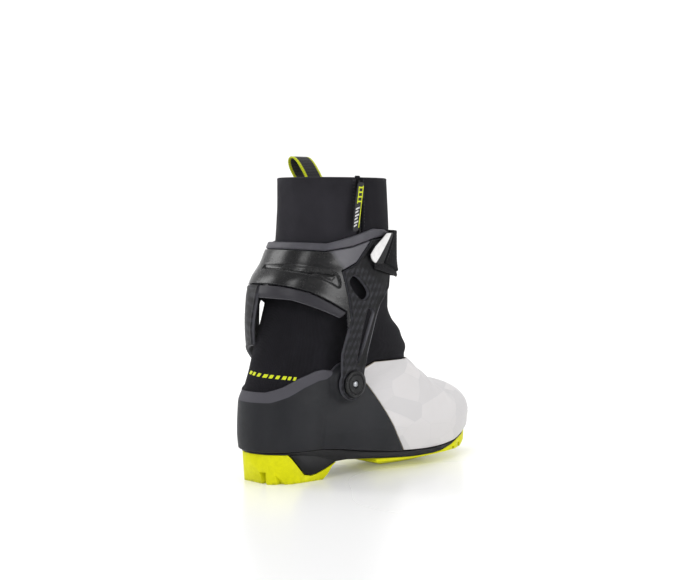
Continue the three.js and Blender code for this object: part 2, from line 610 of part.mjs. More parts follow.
// ---------------------------------------------------------------- under the forefoot cover
function instep() {
  for (const [name, side] of SIDES) {
    const reach = [EYESTAY_STRIP.near, EYESTAY_STRIP.far].map((y) => side * y + EYESTAY_STRIP.middle);
    const room = box(184, 226, Math.min(...reach), Math.max(...reach), 60, 100);
    const strip = layer(EYESTAY.inner, EYESTAY.outer).intersect(room);
    add(`eyestay_${name}`, strip, "black_fabric");
  }
  const tongueRoom = box(165, 236, -22, 24, 58, 112);
  add("tongue", layer(VAMP.inner - 3, VAMP.inner - GAP).intersect(tongueRoom), "black_fabric");
  const puffSide = [...feather(250, 292, 1), [292, 90], [250, 90]];
  const puff = layer(VAMP.outer + GAP, COVER.inner - GAP).intersect(sidePlate(puffSide, -WIDE, WIDE));
  add("toe_puff", puff, "charcoal");

  // The lace runs to and fro between the eyestays, laid on the upper's own facets.
  const bothFaces = new THREE.MeshBasicMaterial({ side: THREE.DoubleSide });
  const form = new THREE.Mesh(geometryOf(body(LACE.level)), bothFaces);
  const down = new THREE.Vector3(0, 0, -1);
  const onForm = (x, y) => {
    const from = new THREE.Vector3(x, toeSway(x) + y, 200);
    return new THREE.Raycaster(from, down).intersectObject(form)[0].point;
  };
  const route = spread(0, LACE.rows - 1, LACE.rows - 1).flatMap((row) => {
    const x = LACE.x + row * LACE.pitch;
    const side = row % 2 ? OUTER : INNER;
    const across = [-10, -5, 0, 5, 10].map((y) => onForm(x, side * y));
    return row + 1 < LACE.rows ? [...across, onForm(x + LACE.pitch / 2, side * 13.2)] : across;
  });
  const section = new THREE.Shape();
  section.absarc(0, 0, LACE.radius, 0, 2 * Math.PI);
  const extrudePath = new THREE.CatmullRomCurve3(route);
  const cord = new THREE.ExtrudeGeometry(section, { steps: 64, curveSegments: 4, extrudePath });
  add("lace", solid(cord), "lime");
}

sole();
softUpper();
instep();
heelShell();
pivots();
cuff();
collar();
strap();

const extent = new THREE.Box3().setFromObject(boot);
const middle = extent.getCenter(new THREE.Vector3());
boot.position.set(-middle.x, -middle.y, -extent.min.z);
const standing = new THREE.Group();
standing.add(boot);
export default standing;
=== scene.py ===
import math

import bmesh
import bpy
import numpy as np
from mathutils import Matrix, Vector


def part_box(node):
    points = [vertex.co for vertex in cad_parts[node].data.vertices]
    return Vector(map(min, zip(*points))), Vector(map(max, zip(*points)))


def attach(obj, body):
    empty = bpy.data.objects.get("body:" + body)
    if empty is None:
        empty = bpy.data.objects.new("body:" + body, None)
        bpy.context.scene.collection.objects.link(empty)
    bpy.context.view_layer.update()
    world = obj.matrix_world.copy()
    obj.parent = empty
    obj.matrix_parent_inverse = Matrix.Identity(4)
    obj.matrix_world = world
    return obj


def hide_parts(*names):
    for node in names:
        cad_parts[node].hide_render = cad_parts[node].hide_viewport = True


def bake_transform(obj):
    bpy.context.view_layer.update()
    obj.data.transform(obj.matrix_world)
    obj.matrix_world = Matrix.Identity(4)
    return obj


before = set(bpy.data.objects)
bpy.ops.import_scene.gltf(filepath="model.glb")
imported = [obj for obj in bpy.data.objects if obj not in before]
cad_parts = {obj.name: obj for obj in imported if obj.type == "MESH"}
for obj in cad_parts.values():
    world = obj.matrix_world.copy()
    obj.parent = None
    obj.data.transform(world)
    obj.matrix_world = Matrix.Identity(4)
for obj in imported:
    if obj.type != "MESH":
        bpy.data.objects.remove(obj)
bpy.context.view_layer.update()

# ---------------------------------------------------------------- driving dimensions
PIVOT = (85.5, 87.5)
TOE_TIP = 288
TOE_ROUND = 222  # ahead of here the foot rounds in, seen from above
TOE_DOME = 240  # ahead of here its top rounds down
FOOT_REAR = 60  # behind here only the leg's form counts
HEEL_MIDDLE = 60  # the heel's round back is centred here
WIDEST = 42  # the height at which the foot is widest
SIDE_DRAW = 0.86  # its side walls narrow to this share at the sole
LEG_POWER, FOOT_POWER, CUFF_POWER = 2.25, 2.3, 2.5  # how square the sections are: 2 is an ellipse
CUFF_HEIGHTS = (66, 236)
SLEEVE_LOW, SLEEVE_TOP = 116, 196  # the sock's ankle part lies between these heights; only the higher one is used, as the sock's top edge
SEAM_GAP = 0.4
COLLAR = {"low": 196.6, "high": 275, "seam": 100}
ZIP_X = 99
LOOP = {"x": 105, "y": 41.3, "width": 22, "lean": 0.4, "half_thick": 0.75}
OUTER, INNER = -1, 1
SIDES = (("lateral", OUTER), ("medial", INNER))
RIM_STEPS = (0.12, 0.45, 1.0)  # where a layer's rounded rim gets its rows of vertices

# Each layer's inner and outer face, measured out from the form that it lies on, and its rim's width.
LAYERS = {
    "stretch_sock": (-3.2, 0, 1.2),
    "forefoot_cover_cloth": (-0.4, 1.2, 0.8),
    "vamp_lining": (-7.2, -4.4, 1.2),
    "tongue_pad": (-10.2, -7.6, 1.2),
    "heel_shell_moulding": (0.5, 2.6, 1.0),
    "carbon_arm_lateral": (-3, 0.2, 0.9),
    "carbon_arm_medial": (-3, 0.2, 0.9),
    "cuff_moulding": (-2.8, 0, 1.0),
    "cuff_lower_rim": (-3.4, -0.4, 1.2),
    "cuff_upper_lip": (-2.4, 0, 1.4),
    "strap_webbing": (3.2, 4.6, 0.7),
    "strap_pile": (1.8, 2.8, 0.9),
    "strap_grip": (3.2, 4.6, 0.8),
    "pile_patch": (0.6, 1.3, 0.6),
    "strap_anchor": (1.8, 4.6, 0.8),
    "collar_rear_cloth": (-3.4, 0, 1.0),
    "collar_front_cloth": (-3.4, 0, 1.0),
    "zip_tape_cloth": (-2.6, -1.2, 0.5),
}

# The camera looks level with its target's height, from behind and from the outer side, tipped down a little.
CAMERA = {"azimuth": -43.13, "pitch": 3.35, "target": (100, 0, 246.87), "away": 1310.5, "right": 20.35}
# Each light's place, the point it faces, its width and height, all in metres, and its power in watts.
LIGHTS = {
    "key_light": ((-1.15, -0.55, 0.75), (0, 0, 0.16), (0.5, 0.9), 5.5),
    "front_light": ((0.5, -1.35, 0.42), (-0.04, 0, 0.18), (0.6, 0.7), 6),
    "top_light": ((0.1, 0.1, 1.5), (0, 0, 0.1), (0.9, 0.9), 4),
    "rim_light": ((-0.7, 1.0, 0.7), (0, 0, 0.2), (0.4, 0.9), 5),
    "backdrop_light": ((0.75, 0.8, 2.3), (2.6, 2.8, 0.5), (2.4, 1.4), 55),
}

washers = [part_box(f"pivot_washer_{name}") for name, side in SIDES]
PIVOT_MIDDLE = sum((low + high for low, high in washers), Vector()) / 4
SHIFT = np.array([PIVOT_MIDDLE.x * 1000 - PIVOT[0], PIVOT_MIDDLE.y * 1000, 0])


def place(points):
    """Points in the maker's frame, in millimetres, as places in the CAD's frame, in metres."""
    return (np.asarray(points, float) + SHIFT) / 1000


def linked(name, data):
    made = bpy.data.objects.new(name, data)
    bpy.context.scene.collection.objects.link(made)
    return made


# ---------------------------------------------------------------- camera, light and floor
def camera():
    azimuth, pitch = math.radians(CAMERA["azimuth"]), math.radians(CAMERA["pitch"])
    right = Vector((math.cos(azimuth), math.sin(azimuth), 0))
    ahead = Vector((-math.sin(azimuth), math.cos(azimuth), 0))
    eye = Vector(CAMERA["target"]) - ahead * CAMERA["away"] + right * CAMERA["right"]
    data = bpy.data.cameras.new("camera")
    data.lens = 72
    data.sensor_width = 36
    data.clip_start = 0.01
    made = linked("camera", data)
    made.location = place(eye)
    made.rotation_euler = (math.radians(90) - pitch, 0, azimuth)
    bpy.context.scene.camera = made


def studio():
    world = bpy.data.worlds.new("studio")
    bpy.context.scene.world = world
    world.use_nodes = True
    sky = world.node_tree.nodes["Background"].inputs
    sky["Color"].default_value = (1, 1, 1, 1)
    sky["Strength"].default_value = 0.55
    for name, (where, target, size, power) in LIGHTS.items():
        data = bpy.data.lights.new(name, "AREA")
        data.shape = "RECTANGLE"
        data.size, data.size_y = size
        data.energy = power
        made = linked(name, data)
        made.location = where
        made.rotation_euler = (Vector(target) - Vector(where)).to_track_quat("-Z", "Y").to_euler()
    bpy.context.scene.view_settings.view_transform = "Standard"


def floor(reach=3.4, rise=1.2, top=3.2, steps=72):
    """A round white floor that curves up into a low wall all round, in metres."""
    bend = [(reach + rise * math.sin(t), rise - rise * math.cos(t)) for t in np.linspace(0, math.pi / 2, 16)]
    line = [(0.8, 0.0), (2.0, 0.0)] + bend + [(reach + rise, top)]
    turns = np.linspace(0, 2 * math.pi, steps, endpoint=False)
    points = [(0.0, 0.0, 0.0)] + [(r * math.cos(t), r * math.sin(t), z) for r, z in line for t in turns]
    middle = [(0, 1 + i, 1 + (i + 1) % steps) for i in range(steps)]
    mesh = bpy.data.meshes.new("studio_floor")
    rings = [tuple(i + 1 for i in face) for face in quads(len(line), steps, flip=True)]
    mesh.from_pydata(points, [], middle + rings)
    mesh.polygons.foreach_set("use_smooth", [True] * len(mesh.polygons))
    mesh.materials.append(studio_paint())
    linked("studio_floor", mesh)


# ---------------------------------------------------------------- curves, outlines and grids
def through(*stations):
    """A smooth monotone curve through (place, value) stations, flat beyond both ends."""
    place_at = np.array([s[0] for s in stations], float)
    value = np.array([s[1] for s in stations], float)
    gap = np.diff(place_at)
    rate = np.diff(value) / gap
    slope = np.zeros(len(stations))
    same = rate[:-1] * rate[1:] > 0
    inner = np.zeros(len(rate) - 1)
    inner[same] = 2 * rate[:-1][same] * rate[1:][same] / (rate[:-1][same] + rate[1:][same])
    slope[1:-1] = inner

    def curve(x):
        x = np.clip(np.asarray(x, float), place_at[0], place_at[-1])
        i = np.clip(np.searchsorted(place_at, x, side="right") - 1, 0, len(gap) - 1)
        h = gap[i]
        t = (x - place_at[i]) / h
        rise = value[i] * (1 + 2 * t) * (1 - t) ** 2 + value[i + 1] * t * t * (3 - 2 * t)
        return rise + h * t * (1 - t) * (slope[i] * (1 - t) - slope[i + 1] * t)

    return curve


def smooth(points, rounds=3, closed=True):
    """An outline with its corners rounded by cutting them off a few times."""
    line = np.array(points, float)
    for _ in range(rounds):
        after = np.roll(line, -1, axis=0) if closed else line[1:]
        before = line if closed else line[:-1]
        cut = np.stack([before * 0.75 + after * 0.25, before * 0.25 + after * 0.75], 1).reshape(-1, 2)
        line = cut if closed else np.vstack([line[:1], cut, line[-1:]])
    return line


def arc(x, z, radius, start, end, steps):
    turn = np.radians(np.linspace(start, end, steps + 1))
    return [(x + radius * math.cos(t), z + radius * math.sin(t)) for t in turn]


def to_line(points, line, closed=False):
    """Distance in the side view from each point to an open or closed line."""
    line = np.asarray(line, float)
    a = line if closed else line[:-1]
    b = np.roll(line, -1, axis=0) if closed else line[1:]
    flat = points[:, [0, 2]]
    best = np.full(len(flat), 1e9)
    for start, end in zip(a, b):
        d = end - start
        t = np.clip(((flat - start) @ d) / max(d @ d, 1e-9), 0, 1)
        best = np.minimum(best, np.hypot(*(flat - start - t[:, None] * d).T))
    return best


def inside(outline):
    """A field over points: distance in the side view to the outline, positive inside it."""
    line = np.asarray(outline, float)
    after = np.roll(line, -1, axis=0)

    def field(points):
        x, z = points[:, 0], points[:, 2]
        odd = np.zeros(len(points), bool)
        for (x0, z0), (x1, z1) in zip(line, after):
            if z0 == z1:
                continue
            crosses = (z0 > z) != (z1 > z)
            odd ^= crosses & (x < (x1 - x0) * (z - z0) / (z1 - z0) + x0)
        return np.where(odd, 1, -1) * to_line(points, line, closed=True)

    return field


def both(*fields):
    return lambda points: np.minimum.reduce([f(points) for f in fields])


def either(*fields):
    return lambda points: np.maximum.reduce([f(points) for f in fields])


def without(field, *holes):
    return lambda points: np.minimum.reduce([field(points)] + [-hole(points) for hole in holes])


def side_of(side, from_middle=0.0):
    return lambda points: side * points[:, 1] - from_middle


def step(low, high, value):
    t = np.clip((value - low) / (high - low), 0, 1)
    return t * t * (3 - 2 * t)


def beside(points, start, way):
    """Signed distance in the side view from a line through start, positive to the left of its way."""
    way = np.array(way) / math.hypot(*way)
    offset = points[:, [0, 2]] - start
    return offset[:, 1] * way[0] - offset[:, 0] * way[1]


def unit(vectors):
    return vectors / np.maximum(np.linalg.norm(vectors, axis=-1, keepdims=True), 1e-9)


def spaced(points, count, endpoint=True):
    """Points at even distances along a line."""
    run = np.concatenate([[0], np.cumsum(np.linalg.norm(np.diff(points, axis=0), axis=1))])
    even = np.linspace(0, run[-1], count, endpoint=endpoint)
    return np.stack([np.interp(even, run, column) for column in points.T], 1)


def quads(rows, columns, closed=True, flip=False):
    """Faces of a grid of points laid out row by row. A closed grid's rows are rings."""
    faces = []
    for row in range(rows - 1):
        for i in range(columns if closed else columns - 1):
            a, b = row * columns + i, row * columns + (i + 1) % columns
            faces.append((a, a + columns, b + columns, b) if flip else (a, b, b + columns, a + columns))
    return faces


def compacted(faces):
    """The points that the faces use, and the faces numbered over those points alone."""
    used = np.unique(np.concatenate([np.array(f) for f in faces]))
    index = {int(v): i for i, v in enumerate(used)}
    return used, [tuple(index[i] for i in f) for f in faces]


# ---------------------------------------------------------------- lines of the upper
leg_back = through((10, 5), (45, 2.5), (72, 3.5), (87, 6), (100, 10), (126, 18), (142, 25), (162, 33),
                   (195, 43), (227, 49), (275, 51))
leg_front = through((10, 100), (70, 120), (98, 188), (112, 193), (126, 187), (142, 172.5), (154, 165.5),
                    (195, 163), (227, 161), (275, 159))
leg_half = through((10, 31), (45, 36), (72, 37), (100, 36), (126, 36), (142, 37), (162, 40), (195, 42),
                   (227, 44), (275, 43))
outer_half = through((44, 30), (70, 37.5), (100, 42), (150, 46), (190, 49), (215, 49), (240, 48), (262, 46),
                     (286, 42))
inner_half = through((44, 30), (70, 36.5), (100, 40), (150, 44), (190, 47), (215, 47), (240, 44), (262, 41),
                     (286, 38))
foot_top = through((40, 80), (100, 112), (150, 122), (180, 108), (198, 93), (219, 79), (240, 75), (262, 69),
                   (286, 60))
toe_sway = through((130, 0), (200, 2), (286, 13))
feather = through((0, 29.5), (30, 29), (60, 28.5), (80, 26.8), (110, 22.2), (165, 16.3), (195, 15.4),
                  (231, 18), (247, 22.4), (262, 27), (288, 31))
cuff_back = through((66, 24), (100, 24), (122, 16), (142, 14.5), (165, 16), (181, 21), (196, 32), (207, 38),
                    (220, 45), (236, 49))
cuff_front = through((66, 156), (165, 168), (196, 164), (236, 162.5))
cuff_half = through((66, 50.4), (165, 50.4), (185, 49.5), (200, 47), (236, 46.6))


# ---------------------------------------------------------------- forms: smooth surfaces that pieces lie on
class Form:
    """Vertices, outward normals and faces of a smooth surface in the maker's frame."""

    def __init__(self, points, normals, faces):
        self.points, self.normals, self.faces = points, normals, faces


def tube_distance(p, back, front, half, power):
    """Distance outwards from an upright tube whose level sections are squarish ovals."""
    back, front, half = back(p[:, 2]), front(p[:, 2]), half(p[:, 2])
    dx, dy = p[:, 0] - (back + front) / 2, p[:, 1]
    rho = ((2 * np.abs(dx) / (front - back)) ** power + (np.abs(dy) / half) ** power) ** (1 / power)
    reach = np.hypot(dx, dy)
    return reach - reach / np.maximum(rho, 1e-6)


def leg_distance(p):
    return tube_distance(p, leg_back, leg_front, leg_half, LEG_POWER)


def cuff_distance(p):
    return tube_distance(p, cuff_back, cuff_front, cuff_half, CUFF_POWER)


def foot_distance(p):
    x, dy, rise = p[:, 0], p[:, 1] - toe_sway(p[:, 0]), p[:, 2] - WIDEST
    half = np.where(dy < 0, outer_half(x), inner_half(x)) * (1 - (1 - SIDE_DRAW) * np.clip(-rise / 34, 0, 1))
    ahead = np.maximum(0, x - TOE_ROUND)
    power = FOOT_POWER
    dome = np.cbrt(1 - np.clip((x - TOE_DOME) / (TOE_TIP - TOE_DOME), 0, 0.995) ** 3)
    plan = (1 - np.clip(ahead / (TOE_TIP - TOE_ROUND), 0, 0.995) ** power) ** (1 / power)
    top = (foot_top(x) - WIDEST) * dome / plan
    up = np.maximum(rise, 0)
    rho = (ahead / (TOE_TIP - TOE_ROUND)) ** power + (np.abs(dy) / half) ** power + (up / top) ** power
    rho = rho ** (1 / power)
    reach = np.sqrt(ahead**2 + dy**2 + up**2)
    return reach - reach / np.maximum(rho, 1e-6) + 1.2 * np.maximum(0, FOOT_REAR - x)


def body_distance(p):
    """Distance from the upper's surface, with a soft fillet where the leg meets the foot."""
    leg, foot = leg_distance(p), foot_distance(p)
    fillet = 5.0
    share = np.clip(0.5 + (foot - leg) / (2 * fillet), 0, 1)
    return foot * (1 - share) + leg * share - fillet * share * (1 - share)


def gradient(distance, p, reach=0.4):
    parts = []
    for axis in range(3):
        shift = np.zeros(3)
        shift[axis] = reach
        parts.append((distance(p + shift) - distance(p - shift)) / (2 * reach))
    return np.stack(parts, 1)


def oval_ring(back, front, half, z, power, sides):
    turn = np.linspace(0, 2 * math.pi, sides, endpoint=False)
    c, s = np.cos(turn), np.sin(turn)
    round_off = lambda v: np.sign(v) * np.abs(v) ** (2 / power)
    x = (back + front) / 2 + round_off(c) * (front - back) / 2
    return np.stack([x, round_off(s) * half, np.full(sides, float(z))], 1)


def lofted(rings, flip=False):
    """Points and faces of a closed loft; flip turns the faces the other way."""
    count, sides = len(rings), len(rings[0])
    ends = [tuple(range(sides))[::-1], tuple((count - 1) * sides + i for i in range(sides))]
    if flip:
        ends = [end[::-1] for end in ends]
    return np.vstack(rings), quads(count, sides, flip=flip) + ends


def joined(parts):
    """The points and faces of several meshes as one."""
    points, faces, base = [], [], 0
    for some_points, some_faces in parts:
        points.append(some_points)
        faces += [tuple(i + base for i in face) for face in some_faces]
        base += len(some_points)
    return np.vstack(points), faces


def evaluated(made):
    """Points and faces of an object with its modifiers applied. The object is then removed."""
    graph = bpy.context.evaluated_depsgraph_get()
    mesh = made.evaluated_get(graph).to_mesh()
    points = np.zeros(len(mesh.vertices) * 3)
    mesh.vertices.foreach_get("co", points)
    faces = [tuple(f.vertices) for f in mesh.polygons]
    bpy.data.objects.remove(made)
    return points.reshape(-1, 3), faces


def foot_ring(x, sides=33, sole=8):
    """The foot's section at x: a rounded top down to its widest, and two points at the sole."""
    close = max(0, (x - TOE_ROUND) / (TOE_TIP - TOE_ROUND))
    plan = (1 - close**FOOT_POWER) ** (1 / FOOT_POWER)
    dome = (1 - max(0, (x - TOE_DOME) / (TOE_TIP - TOE_DOME)) ** 3) ** (1 / 3)
    turn = np.linspace(0, math.pi, sides)
    c, s = np.cos(turn), np.sin(turn)
    half = np.where(c < 0, outer_half(x), inner_half(x)) * plan
    y = toe_sway(x) + np.sign(c) * np.abs(c) ** (2 / FOOT_POWER) * half
    z = WIDEST + s ** (2 / FOOT_POWER) * (foot_top(x) - WIDEST) * dome
    walls = ((OUTER, outer_half(x)), (INNER, inner_half(x)))
    low = [(x, toe_sway(x) + side * wide * plan * SIDE_DRAW, sole) for side, wide in walls]
    return np.vstack([np.stack([np.full(sides, x), y, z], 1), low])


def body_form(cell=1.7, heel=50):
    """The upper as one even mesh of small quads, drawn onto the exact surface."""
    heights = np.linspace(8, 284, 93)
    leg = [oval_ring(leg_back(z), leg_front(z), leg_half(z), z, LEG_POWER, 72) for z in heights]
    turns = np.linspace(0, 1, 60) * math.pi / 2
    foot = [foot_ring(heel + (TOE_TIP - 0.3 - heel) * math.sin(t)) for t in turns]
    points, faces = joined([lofted(leg), lofted(foot)])
    mesh = bpy.data.meshes.new("rough_body")
    mesh.from_pydata(points.tolist(), [], faces)
    rough = linked("rough_body", mesh)
    remesh = rough.modifiers.new("even", "REMESH")
    remesh.mode = "VOXEL"
    remesh.voxel_size = cell
    p, faces = evaluated(rough)
    wall = (p[:, 2] > 9.5) & (p[:, 2] < 282.5)
    for _ in range(4):
        g = gradient(body_distance, p)
        pull = (body_distance(p) / np.maximum((g**2).sum(1), 0.05))[:, None] * g
        length = np.linalg.norm(pull, axis=1, keepdims=True)
        pull *= np.minimum(1, 2.5 / np.maximum(length, 1e-9))
        p = np.where(wall[:, None], p - pull, p)
    return Form(p, unit(gradient(body_distance, p, reach=1.2)), faces)


def cuff_form(sides=420, rows=190):
    """The cuff's outer face as an even grid of rings."""
    rings = []
    for z in np.linspace(*CUFF_HEIGHTS, rows):
        ring = oval_ring(cuff_back(z), cuff_front(z), cuff_half(z), z, CUFF_POWER, 1200)
        rings.append(spaced(np.vstack([ring, ring[:1]]), sides, endpoint=False))
    grid = np.array(rings)
    along = np.roll(grid, -1, 1) - np.roll(grid, 1, 1)
    normals = unit(np.cross(along, np.gradient(grid, axis=0)))
    return Form(grid.reshape(-1, 3), normals.reshape(-1, 3), quads(rows, sides))


# ---------------------------------------------------------------- cutting pieces out of a form
class Patch:
    """Part of a form while it is being cut: points, normals, a value at each point, and faces."""

    def __init__(self, form, field, margin=4.0):
        value = field(form.points)
        near = value > -margin
        used, self.faces = compacted([f for f in form.faces if all(near[list(f)])])
        self.points, self.normals, self.value = form.points[used], form.normals[used], value[used]

    def cut(self, level, discard):
        """Adds a line of vertices where the value is level, and drops what is below it if asked."""
        value = self.value - level
        value[np.abs(value) < 1e-4] = 0
        new_points, new_normals, known = [], [], {}
        count = len(self.points)

        def between(i, j):
            key = (min(i, j), max(i, j))
            if key not in known:
                t = value[key[0]] / (value[key[0]] - value[key[1]])
                known[key] = count + len(new_points)
                new_points.append(self.points[key[0]] * (1 - t) + self.points[key[1]] * t)
                new_normals.append(self.normals[key[0]] * (1 - t) + self.normals[key[1]] * t)
            return known[key]

        faces = []
        sign = np.sign(value)
        for face in self.faces:
            signs = [sign[i] for i in face]
            if min(signs) >= 0:
                faces.append(face)
            elif max(signs) <= 0:
                if not discard:
                    faces.append(face)
            else:
                above, below = [], []
                for i, j in zip(face, face[1:] + face[:1]):
                    if sign[i] >= 0:
                        above.append(i)
                    if sign[i] <= 0:
                        below.append(i)
                    if sign[i] * sign[j] < 0:
                        middle = between(i, j)
                        above.append(middle)
                        below.append(middle)
                faces.append(tuple(above))
                if not discard:
                    faces.append(tuple(below))
        self.faces = [f for f in faces if len(f) > 2]
        if new_points:
            self.points = np.vstack([self.points, new_points])
            self.normals = np.vstack([self.normals, new_normals])
            self.value = np.concatenate([self.value, np.full(len(new_points), float(level))])

    def tidy(self):
        used, self.faces = compacted(self.faces)
        self.points, self.normals, self.value = self.points[used], unit(self.normals[used]), self.value[used]


def skin(name, form, field, body, finish, slot, *nodes, relief=None, marks=None):
    """A layer of even thickness over part of a form, with a rounded rim, that stands for CAD nodes.
    relief adds height: a function of the points and of their distance from the rim.
    marks are extra values kept at the vertices for the materials, by name."""
    inner, outer, edge = LAYERS[name]
    patch = Patch(form, field)
    patch.cut(0, discard=True)
    for share in RIM_STEPS:
        patch.cut(edge * share, discard=False)
    patch.tidy()
    rim = np.clip(patch.value / edge, 0, 1)
    height = inner + (outer - inner) * np.sqrt(1 - (1 - rim) ** 2)
    if relief is not None:
        height = height + relief(patch.points, patch.value) * rim
    count = len(patch.points)
    top = patch.points + patch.normals * height[:, None]
    base = patch.points + patch.normals * inner
    on_rim = patch.value < 1e-6
    below = np.where(on_rim, np.arange(count), np.arange(count) + count)
    faces = patch.faces + [tuple(int(below[i]) for i in f)[::-1] for f in patch.faces]
    kept = {"rim": patch.value}
    kept.update({key: mark(patch.points) for key, mark in (marks or {}).items()})
    attributes = {key: np.concatenate([value, value]) for key, value in kept.items()}
    made = piece(name, np.vstack([top, base]), faces, attributes)
    return finish_piece(made, body, finish, slot, *nodes)


# ---------------------------------------------------------------- objects
def piece(name, points, faces, attributes=None, smooth_shading=True):
    """A mesh object from points in the maker's frame."""
    used, faces = compacted(faces)
    mesh = bpy.data.meshes.new(name)
    mesh.from_pydata(place(np.asarray(points)[used]).tolist(), [], faces)
    for key, values in (attributes or {}).items():
        layer = mesh.attributes.new(key, "FLOAT", "POINT")
        layer.data.foreach_set("value", np.asarray(values, np.float32)[used])
    mesh.polygons.foreach_set("use_smooth", [smooth_shading] * len(faces))
    mesh.update()
    return linked(name, mesh)


def finish_piece(made, body, finish, slot, *nodes):
    """Gives a piece its finish by name, the body it rides on and the CAD nodes it stands for."""
    made.data.materials.append(FINISHES[finish])
    if body:
        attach(made, body)
    if nodes:
        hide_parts(*nodes)
    return made


# ---------------------------------------------------------------- materials
class Finish:
    """A node material. Patterns are laid out in millimetres on the piece itself."""

    def __init__(self, name):
        self.data = bpy.data.materials.new(name)
        self.data.use_nodes = True
        self.tree = self.data.node_tree
        self.face = self.tree.nodes["Principled BSDF"]
        self.at = self.add("ShaderNodeTexCoord").outputs["Object"]
        self.at = self.stretched((1000, 1000, 1000))

    def add(self, kind, inputs=None, **settings):
        """A new node with its settings, and its inputs by name: constants or other nodes' outputs."""
        node = self.tree.nodes.new(kind)
        for key, value in settings.items():
            setattr(node, key, value)
        for key, value in (inputs or {}).items():
            self.set(node.inputs[key], value)
        return node

    def set(self, socket, value):
        if isinstance(value, bpy.types.NodeSocket):
            self.tree.links.new(value, socket)
        else:
            socket.default_value = value

    def math(self, operation, a, b=0.0):
        return self.add("ShaderNodeMath", {0: a, 1: b}, operation=operation).outputs[0]

    def times(self, a, b):
        return self.math("MULTIPLY", a, b)

    def stretched(self, stretch, turn=(0, 0, 0)):
        inputs = {"Vector": self.at, "Rotation": turn, "Scale": stretch}
        return self.add("ShaderNodeMapping", inputs).outputs["Vector"]

    def noise(self, period, detail=2.0, rough=0.55, stretch=(1, 1, 1)):
        at = self.stretched(stretch) if stretch != (1, 1, 1) else self.at
        inputs = {"Vector": at, "Scale": 1 / period, "Detail": detail, "Roughness": rough}
        return self.add("ShaderNodeTexNoise", inputs).outputs["Fac"]

    def bands(self, axis, period, turn=(0, 0, 0)):
        """A wave from 0 to 1 along one axis, with the given period in millimetres."""
        at = self.stretched((1, 1, 1), turn) if turn != (0, 0, 0) else self.at
        inputs = {"Vector": at, "Scale": math.pi / 10 / period}
        settings = {"wave_type": "BANDS", "bands_direction": axis, "wave_profile": "SIN"}
        return self.add("ShaderNodeTexWave", inputs, **settings).outputs["Fac"]

    def cells(self, period, stretch, output="Color", feature="F1"):
        inputs = {"Vector": self.stretched(stretch), "Scale": 1 / period}
        return self.add("ShaderNodeTexVoronoi", inputs, feature=feature).outputs[output]

    def value(self, name):
        return self.add("ShaderNodeAttribute", attribute_name=name).outputs["Fac"]

    def split(self, kind, vector, key="Vector"):
        """A place's coordinates or a colour's channels."""
        return self.add(kind, {key: vector}).outputs

    def ramp(self, fac, low, high, a, b):
        node = self.add("ShaderNodeValToRGB", {"Fac": fac})
        first, last = node.color_ramp.elements
        first.position, last.position = low, high
        first.color, last.color = a, b
        return node.outputs["Color"]

    def span(self, fac, low, high, a=0.0, b=1.0):
        inputs = {"Value": fac, "From Min": low, "From Max": high, "To Min": a, "To Max": b}
        return self.add("ShaderNodeMapRange", inputs).outputs["Result"]

    def blend(self, fac, a, b):
        return self.add("ShaderNodeMix", {"Factor": fac, 6: a, 7: b}, data_type="RGBA").outputs[2]

    def bump(self, height, depth, strength=1.0, after=None):
        """Bumps of a depth in millimetres, on top of the normals from another bump."""
        inputs = {"Height": height, "Distance": depth / 1000, "Strength": strength}
        if after is not None:
            inputs["Normal"] = after
        return self.add("ShaderNodeBump", inputs).outputs["Normal"]

    def finish(self, base, rough, normal=None, metal=0.0, sheen=0.0, specular=0.5):
        inputs = {"Base Color": base, "Roughness": rough, "Metallic": metal, "Sheen Weight": sheen,
                  "Sheen Roughness": 0.45, "Specular IOR Level": specular}
        if normal is not None:
            inputs["Normal"] = normal
        for key, value in inputs.items():
            self.set(self.face.inputs[key], value)
        return self.data


def rgb(r, g, b):
    """A colour from screen values of 0 to 255."""
    return tuple(((v / 255 + 0.055) / 1.055) ** 2.4 if v > 10 else v / 255 / 12.92 for v in (r, g, b)) + (1,)


LIME = rgb(216, 224, 6)


def knit(name, dark, light, period=1.1, sheen=0.25, wear=40, weave_depth=0.35, contrast=0.1):
    """Stretch or woven cloth: two crossed waves, fine fibre noise and broad soft colour change."""
    f = Finish(name)
    across = f.math("ADD", f.bands("X", period), f.bands("Y", period))
    weave = f.times(across, f.bands("Z", period * 0.8))
    fibre = f.noise(0.35, 3, 0.7)
    broad = f.noise(wear, 3, 0.6)
    shade = f.math("ADD", f.times(weave, contrast), f.math("ADD", f.times(fibre, 0.4), f.times(broad, 0.5)))
    colour = f.ramp(shade, 0.25, 0.85, dark, light)
    first = f.bump(weave, weave_depth, 0.7)
    second = f.bump(fibre, 0.18, 0.6, first)
    third = f.bump(f.noise(16, 2, 0.5), 0.8, 0.25, second)
    return f.finish(colour, f.span(broad, 0.2, 0.8, 0.78, 0.95), third, sheen=sheen, specular=0.1)


